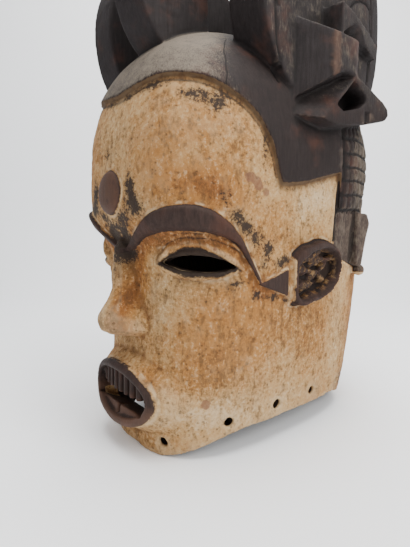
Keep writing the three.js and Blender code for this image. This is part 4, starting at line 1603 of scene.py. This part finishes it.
class Value:
    """One number in a finish: a socket whose operators add Math nodes."""

    def __init__(self, graph: "Graph", socket: bpy.types.NodeSocket) -> None:
        """Keeps the socket and the graph that it belongs to."""
        self.graph = graph
        self.socket = socket

    def maths(self, operation: str, *others: "Value | float") -> "Value":
        """Adds one Math node with this value first."""
        return self.graph.maths(operation, self, *others)

    def __add__(self, other: "Value | float") -> "Value":
        """Sum."""
        return self.maths("ADD", other)

    __radd__ = __add__

    def __sub__(self, other: "Value | float") -> "Value":
        """Difference."""
        return self.maths("SUBTRACT", other)

    def __rsub__(self, other: float) -> "Value":
        """Difference from a number."""
        return self.graph.maths("SUBTRACT", other, self)

    def __mul__(self, other: "Value | float") -> "Value":
        """Product."""
        return self.maths("MULTIPLY", other)

    __rmul__ = __mul__

    def at_least(self, other: "Value | float") -> "Value":
        """Larger of two."""
        return self.maths("MAXIMUM", other)

    def size(self) -> "Value":
        """Value without its sign."""
        return self.maths("ABSOLUTE")

    def clamped(self) -> "Value":
        """Value held between 0 and 1."""
        return self.graph.maths("ADD", self, 0.0, clamp=True)

    def step(self, low: float, high: float) -> "Value":
        """Smooth step from 0 at `low` to 1 at `high`, which may be the lower one."""
        return self.graph.ramp(self, low, high)

    def frayed(self, low: float, high: float, *noises: tuple["Value", float]) -> "Value":
        """Smooth step whose border is broken up by noises.

        Args:
            low: Value at which the step starts.
            high: Value at which it ends.
            noises: Noises round 0.5, each with its strength.

        Returns:
            The step, from 0 to 1.
        """
        total = self
        for noise, strength in noises:
            total = total + (noise - 0.5) * strength
        return total.step(low, high)


class Graph:
    """Node tree of one finish."""

    def __init__(self, name: str) -> None:
        """Makes an empty material."""
        self.material = bpy.data.materials.new(name)
        self.material.use_nodes = True
        self.tree = self.material.node_tree
        self.tree.nodes.clear()

    def node(self, kind: str, settings: dict, inputs: dict) -> bpy.types.Node:
        """Adds one node.

        Args:
            kind: Type of the node, without its prefix.
            settings: Its settings.
            inputs: Values or links for its sockets, by name, identifier or number.

        Returns:
            The node.
        """
        made = self.tree.nodes.new("ShaderNode" + kind)
        for key, value in settings.items():
            setattr(made, key, value)
        for key, value in inputs.items():
            socket = made.inputs[key] if isinstance(key, int) else self.find(made.inputs, key)
            if isinstance(value, Value):
                value = value.socket
            if isinstance(value, bpy.types.NodeSocket):
                self.tree.links.new(value, socket)
            else:
                socket.default_value = value
        return made

    @staticmethod
    def find(sockets: Sequence[bpy.types.NodeSocket], key: str) -> bpy.types.NodeSocket:
        """Socket by its identifier, or else by its name."""
        for socket in sockets:
            if socket.identifier == key:
                return socket
        return next(s for s in sockets if s.name == key and s.enabled)

    def maths(self, operation: str, *terms: "Value | float", clamp: bool = False) -> Value:
        """Adds a Math node on the terms."""
        made = self.node("Math", {"operation": operation, "use_clamp": clamp}, dict(enumerate(terms)))
        return Value(self, made.outputs[0])

    def ramp(self, value: Value, low: float, high: float) -> Value:
        """Smooth step of a value from `low` to `high`."""
        flip = low > high
        settings = {"interpolation_type": "SMOOTHSTEP", "clamp": True}
        ends = {"From Min": min(low, high), "From Max": max(low, high)}
        made = self.node("MapRange", settings, {"Value": value, **ends})
        self.find(made.inputs, "To Min").default_value = 1.0 if flip else 0.0
        self.find(made.inputs, "To Max").default_value = 0.0 if flip else 1.0
        return Value(self, made.outputs[0])

    def mark(self, name: str) -> Value:
        """Number stored at the points of the mesh."""
        made = self.node("Attribute", {"attribute_name": name, "attribute_type": "GEOMETRY"}, {})
        return Value(self, made.outputs["Fac"])

    def place(self, scale: tuple = (1, 1, 1), turn: tuple = (0, 0, 0)) -> bpy.types.NodeSocket:
        """Object coordinates, stretched and turned."""
        base = self.node("TexCoord", {}, {}).outputs["Object"]
        return self.node("Mapping", {}, {"Vector": base, "Scale": scale, "Rotation": turn}).outputs[0]

    def noise(
        self, size: float, detail: float, rough: float, at: bpy.types.NodeSocket = None, twist: float = 0.0,
    ) -> Value:
        """Noise value with humps of a size in metres.

        Args:
            size: Size of its humps.
            detail: Number of finer layers.
            rough: Weight of the finer layers.
            at: Where it is read, or plain Object coordinates.
            twist: Distortion.

        Returns:
            Value round 0.5.
        """
        made = self.node("TexNoise", {}, {
            "Vector": at or self.place(), "Scale": 1 / size, "Detail": detail, "Roughness": rough,
            "Distortion": twist,
        })
        return Value(self, made.outputs[0])

    def cells(self, size: float) -> Value:
        """Distance to the nearest of scattered points, for pores and pits."""
        made = self.node("TexVoronoi", {"feature": "F1"}, {"Vector": self.place(), "Scale": 1 / size})
        return Value(self, made.outputs["Distance"])

    def mix(self, factor: "Value | float", a: object, b: object) -> bpy.types.NodeSocket:
        """Colour mixed from two by a factor."""
        settings = {"data_type": "RGBA", "blend_type": "MIX", "clamp_factor": True}
        made = self.node("Mix", settings, {"Factor_Float": factor, "A_Color": paint(a), "B_Color": paint(b)})
        return self.find(made.outputs, "Result_Color")

    def layered(self, colour: object, *coats: tuple[Value, object]) -> bpy.types.NodeSocket:
        """Colour with coats laid over it one after another.

        Args:
            colour: Colour or socket below them.
            coats: Factor and colour of each coat.

        Returns:
            The last coat's socket.
        """
        for factor, coat in coats:
            colour = self.mix(factor, colour, coat)
        return colour

    def bump(self, height: Value, distance: float, strength: float) -> bpy.types.NodeSocket:
        """Bump of a height in metres."""
        inputs = {"Height": height, "Distance": distance, "Strength": strength}
        return self.node("Bump", {}, inputs).outputs[0]

    def finished(self, **looks: object) -> bpy.types.Material:
        """Closes the tree with a Principled surface.

        Args:
            looks: Its inputs by name, with underscores for spaces.

        Returns:
            The material.
        """
        inputs = {name.replace("_", " "): value for name, value in looks.items()}
        shader = self.node("BsdfPrincipled", {}, inputs)
        self.node("OutputMaterial", {}, {"Surface": shader.outputs[0]})
        return self.material


def paint(colour: object) -> object:
    """Colour as a four-part value, or a socket left as it is."""
    if isinstance(colour, tuple) and len(colour) == 3:
        return (*colour, 1.0)
    return colour


def tone(red: int, green: int, blue: int) -> tuple[float, float, float]:
    """Colour of a finish that looks like a display colour, from 0 to 255, in the studio's light."""

    def linear(part: int) -> float:
        """Linear share of one display part."""
        value = part / 255
        return LIGHT_SHARE * (value / 12.92 if value <= 0.04045 else ((value + 0.055) / 1.055) ** 2.4)

    return linear(red), linear(green), linear(blue)


def halfway(a: tuple, b: tuple) -> tuple:
    """Colour midway between two."""
    return tuple((x + y) / 2 for x, y in zip(a, b))


@dataclass(frozen=True)
class CarvedWoodAndClay:
    """Finish of the whole mask: dark handled wood, and a worn kaolin coat on the faces."""

    cream: tuple = tone(226, 197, 155)
    clay: tuple = tone(204, 162, 108)
    ochre: tuple = tone(180, 124, 66)
    rust: tuple = tone(136, 78, 36)
    stain: tuple = tone(104, 76, 48)
    chip: tuple = tone(138, 96, 74)
    soot: tuple = tone(52, 43, 38)
    lid: tuple = tone(36, 28, 27)
    brow: tuple = tone(72, 53, 46)
    deep: tuple = tone(24, 18, 17)
    cap: tuple = tone(50, 39, 37)
    dust: tuple = tone(140, 128, 113)
    worn: tuple = tone(116, 82, 62)
    red_wood: tuple = tone(112, 68, 50)
    raw: tuple = tone(104, 80, 62)
    crest: tuple = tone(52, 45, 45)

    @property
    def soot_and_shadow(self) -> tuple:
        """Colour of clay that is half covered with soot, also used for the painted shadow under the cap's
        edge.
        """
        return halfway(self.stain, self.soot)

    def wood(self, graph: Graph) -> tuple[bpy.types.NodeSocket, Value, Value]:
        """Dark wood of the hair, crest, brows, lips and ears.

        Args:
            graph: Node tree to build in.

        Returns:
            Its colour, its roughness and its height for the bump.
        """
        grainy = graph.place((1, 1, 0.14))
        fibre = graph.noise(0.0030, 6, 0.7, grainy, 0.4)
        fine = graph.noise(0.0010, 3, 0.6, grainy)
        broad = graph.noise(0.045, 4, 0.6)
        patchy = graph.noise(0.010, 7, 0.74)
        hair, crest, wear, dust = (graph.mark(name) for name in ("hair", "crest", "wear", "dust"))
        base = graph.mix(crest, graph.mix(hair, self.brow, self.cap), self.crest)
        base = graph.mix((fibre - 0.38) * 3.2, graph.mix(0.6, base, self.deep), base)
        # Pale dust on the cap, and painted sheen on the crest's upward and outward faces.
        dust_and_sheen_layer = (dust * 0.92).frayed(0.1, 1.15, (patchy, 1.5), (fine, 1.4)) * dust.step(0.0, 0.12)
        rubbed = wear.frayed(0.24, 0.7, (patchy, 0.6))
        handled = graph.mark("handled").frayed(0.18, 0.85, (patchy, 1.1))
        # Painted shade: hollows and creases in the wood are darkened towards near black.
        sunk = (graph.mark("cavity") * 0.8 - wear).frayed(0.12, 0.7, (patchy, 0.3))
        base = graph.layered(
            base,
            (broad.step(0.52, 0.72) * 0.32, self.red_wood),
            (dust_and_sheen_layer * 0.86, self.dust),
            (rubbed * 0.4, graph.mix(hair, self.red_wood, halfway(self.dust, self.worn))),
            (handled * 0.42, self.worn),
            # Painted shade in the hollows and creases.
            (sunk * 0.7, self.deep),
            # Painted shade: the carved grooves are darkened nearly to black.
            (graph.mark("grooves").step(0.3, 0.85) * 0.85, self.deep),
            (graph.mark("hollow") * 0.9, graph.mix((fibre - 0.3) * 1.4, self.deep, self.raw)),
        )
        rough = 0.6 + patchy * 0.24 + dust_and_sheen_layer * 0.15 - rubbed * 0.12 - handled * 0.08
        height = fibre * 0.7 + fine * 0.3 + patchy * 0.9
        return base, rough, height

    def coat(self, graph: Graph) -> tuple[bpy.types.NodeSocket, Value, Value]:
        """Kaolin coat of the faces.

        Args:
            graph: Node tree to build in.

        Returns:
            Its colour, its roughness and its height for the bump.
        """
        slanted = graph.place((1, 1, 0.34), (0.25, 0.2, 0))
        cloud = graph.noise(0.036, 5, 0.62)
        mottle = graph.noise(0.0090, 7, 0.76)
        crumb = graph.noise(0.0034, 5, 0.75)
        streak = graph.noise(0.0062, 6, 0.74, slanted, 0.5)
        tint, cavity, soot = (graph.mark(name) for name in ("tint", "cavity", "soot"))
        warm = tint * 0.62 + (cloud - 0.5) * 0.8 + (mottle - 0.5) * 1.0 + (crumb - 0.5) * 1.3 + 0.66
        fleck = streak * 0.5 + crumb * 0.3 + mottle * 0.2 + tint * 0.015
        fleck = fleck.frayed(0.505, 0.59, (cloud, 0.1))
        # Painted shade: fine creases and broad hollows darken towards stain and rust, along with mottled
        # dirt.
        sunk = cavity.frayed(0.12, 0.8, (mottle, 0.5))
        dirt_and_shade = graph.mark("wear").step(0.0, -0.5) * 0.45 + mottle.step(0.55, 0.75) * 0.25 + sunk * 0.5
        pores = graph.cells(0.0056).frayed(0.24, 0.1, (crumb, 0.7)) * mottle.step(0.42, 0.54)
        pits = graph.cells(0.011).frayed(0.16, 0.06, (crumb, 1.3)) * cloud.step(0.46, 0.56)
        chips = graph.mark("chip").frayed(0.42, 0.62, (mottle, 0.9))
        smudge = soot.frayed(0.44, 0.8, (mottle, 1.6), (crumb, 2.8))
        colour = graph.layered(
            self.graded(graph, warm),
            (fleck * 0.58, self.stain),
            ((streak * 0.45 + crumb * 0.55).step(0.47, 0.39) * 0.45, self.cream),
            (dirt_and_shade, halfway(self.stain, self.rust)),
            # Painted highlight: bulges are paled towards cream.
            ((0.0 - cavity).frayed(0.1, 0.8, (crumb, 0.8)) * 0.35, self.cream),
            # Brown grime, partly painted shade under the brows, round the eyes and at the nose root.
            ((graph.mark("grime") * 0.7).frayed(0.02, 0.8, (streak, 1.4), (crumb, 1.8)) * 0.5, self.stain),
            (pores.at_least(pits) * 0.62, self.soot_and_shadow),
            (chips * 0.75, self.chip),
            (graph.mark("lid").frayed(-2.6, 0.2, (mottle, 6.0), (crumb, 5.0)) * 0.96, self.lid),
            (graph.mark("lines").frayed(0.3, 0.85, (crumb, 1.2), (mottle, 0.8)) * 0.8, self.soot),
            (soot.step(0.1, 1.1) * 0.62, self.soot_and_shadow),
            (smudge * 0.92, self.soot),
        )
        height = mottle * 1.1 + crumb * 0.8 - pores * 0.8 - pits * 0.9 - chips * 0.5 - fleck * 0.35
        rough = 0.78 + crumb * 0.15 - smudge * 0.1
        return colour, rough, height

    def graded(self, graph: Graph, warm: Value) -> bpy.types.NodeSocket:
        """Clay colour from pale through ochre to rust."""
        steps = (
            (warm.step(-0.1, 0.5), self.clay), (warm.step(0.4, 1.05), self.ochre),
            (warm.step(1.05, 1.8) * 0.8, self.rust),
        )
        return graph.layered(self.cream, *steps)

    def material(self) -> bpy.types.Material:
        """Builds the finish.

        Returns:
            The material.
        """
        graph = Graph("carved_wood_and_clay")
        wood, wood_rough, wood_height = self.wood(graph)
        coat, coat_rough, coat_height = self.coat(graph)
        ragged = (graph.noise(0.0034, 5, 0.7) - 0.5) * 2.6 + (graph.noise(0.011, 3, 0.6) - 0.5) * 3.0
        bare = graph.mark("bare")
        edge = bare + ragged * (0.35 + bare.step(-9.0, -1.0) * 0.3)
        shown = edge.step(-0.35, 0.35)
        build_up = bare.step(-3.6, -1.6) * bare.step(-0.2, -0.9) * graph.noise(0.013, 3, 0.6).step(0.38, 0.6)
        build_up = build_up * graph.mark("tint").step(1.1, 0.6) * graph.mark("soot").step(0.7, 0.3)
        hem = graph.mark("hem")
        shadowed = hem.frayed(10.0, 3.0, (graph.noise(0.006, 5, 0.75), 11.0)) * hem.step(-2.0, 1.0)
        shadowed = (shadowed * 0.75 + hem.step(4.0, 1.5) * 0.4).clamped()
        ear = graph.mark("ear")
        shown = shown * (1.0 - ear * graph.noise(0.008, 6, 0.74).step(0.48, 0.58))
        coat = graph.layered(
            coat, (build_up * 0.75, self.cream), (shadowed * 0.9, self.soot_and_shadow), (ear * 0.72, self.stain),
        )
        colour = graph.mix(shown, coat, wood)
        # Painted shade: the drying crack is not cut into the mesh, and is drawn as a dark line.
        crack = graph.mark("crack").size().step(1.0, 0.35) * graph.mark("hair")
        colour = graph.mix(crack * 0.8, colour, self.deep)
        rough = coat_rough + (wood_rough - coat_rough) * shown
        height = coat_height * (1.0 - shown) + wood_height * shown * 0.55 - shown * 0.9 - crack * 1.2
        normal = graph.bump(height, 0.0012, 0.62)
        return graph.finished(Base_Color=colour, Roughness=rough, Normal=normal, Specular_IOR_Level=0.2)


@dataclass(frozen=True)
class Studio:
    """Floor, light and camera."""

    camera_place: tuple = (0.35764, -0.34874, 0.22034)
    camera_tilt: float = math.radians(83.27)
    heading: float = math.radians(50.72)
    lens: float = 27.05
    wall_distance: float = 1.02
    bend: float = 0.35
    paper_middle: float = 1.4
    paper_length: float = 2.9
    paper_width: float = 3.5
    paper: tuple = (0.94, 0.95, 0.965)
    surround: tuple = (0.93, 0.96, 1.0, 1.0)
    surround_strength: float = 0.52

    def floor(self) -> bpy.types.Object:
        """Pale paper that lies under the mask and turns up behind it."""
        mesh = bmesh.new()
        bmesh.ops.create_grid(mesh, x_segments=60, y_segments=160, size=1.0)
        sin, cos = math.sin(self.heading), math.cos(self.heading)
        bend, start = self.bend, self.wall_distance - self.bend
        for vert in mesh.verts:
            along, side = self.paper_middle + vert.co.y * self.paper_length, vert.co.x * self.paper_width
            quarter = bend * math.pi / 2
            turn = min(max(along - start, 0.0), quarter) / bend
            flat = min(along, start) + bend * math.sin(turn)
            height = bend * (1 - math.cos(turn)) + max(along - start - quarter, 0.0)
            vert.co = (cos * side - sin * flat, cos * flat + sin * side, height)
        bmesh.ops.recalc_face_normals(mesh, faces=mesh.faces[:])
        data = bpy.data.meshes.new("paper")
        mesh.to_mesh(data)
        mesh.free()
        data.shade_smooth()
        made = in_scene("paper", data)
        graph = Graph("matt_paper")
        tooth = graph.noise(0.4, 3, 0.5)
        colour = graph.mix(tooth * 0.25, self.paper, tuple(part * 0.97 for part in self.paper))
        data.materials.append(graph.finished(Base_Color=colour, Roughness=0.9))
        return made

    def lamp(self, name: str, place: tuple, aim: tuple, size: float, power: float, tint: tuple) -> None:
        """Soft square lamp.

        Args:
            name: Name of the lamp.
            place: Where it stands.
            aim: Where it points.
            size: Length of its side.
            power: Its power in watts.
            tint: Its colour.
        """
        light = bpy.data.lights.new(name, "AREA")
        light.shape, light.size, light.energy, light.color = "SQUARE", size, power, tint
        made = in_scene(name, light)
        made.location = place
        made.rotation_euler = (Vector(aim) - Vector(place)).to_track_quat("-Z", "Y").to_euler()

    def light(self) -> None:
        """Soft light from above and from the camera's right, with a pale surround."""
        world = bpy.data.worlds.new("surround")
        world.use_nodes = True
        background = world.node_tree.nodes["Background"]
        background.inputs["Color"].default_value = self.surround
        background.inputs["Strength"].default_value = self.surround_strength
        bpy.context.scene.world = world
        middle = (0.0, 0.0, 0.25)
        self.lamp("overhead", (0.25, -0.1, 1.55), middle, 0.9, 31.0, (1.0, 0.99, 0.97))
        self.lamp("right", (1.35, 0.25, 0.95), middle, 0.9, 20.0, (1.0, 0.98, 0.95))
        self.lamp("front", (0.5, -1.5, 0.8), middle, 1.0, 6.0, (0.97, 0.98, 1.0))
        self.lamp("backdrop", (-0.30, 0.22, 1.6), (-0.95, 0.75, 0.2), 0.8, 9.0, (1.0, 1.0, 1.0))

    def camera(self) -> None:
        """Camera at the photograph's viewing angle."""
        lens = bpy.data.cameras.new("view")
        lens.lens, lens.sensor_width, lens.sensor_fit = self.lens, 36.0, "AUTO"
        lens.clip_start = 0.01
        made = in_scene("view", lens)
        made.location, made.rotation_euler = self.camera_place, (self.camera_tilt, 0.0, self.heading)
        bpy.context.scene.camera = made


def main() -> None:
    """Builds the mask and its studio."""
    logging.basicConfig(level=logging.INFO, format="%(message)s")
    studio = Studio()
    studio.camera()
    studio.floor()
    studio.light()
    maker = Mask()
    mask = maker.build()
    mask.data.materials.clear()
    mask.data.materials.append(CarvedWoodAndClay().material())
    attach(mask, BODY)
    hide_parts(NODE)
    LOG.info("%s: %d triangles", mask.name, len(mask.data.polygons))


if __name__ == "__main__":
    main()
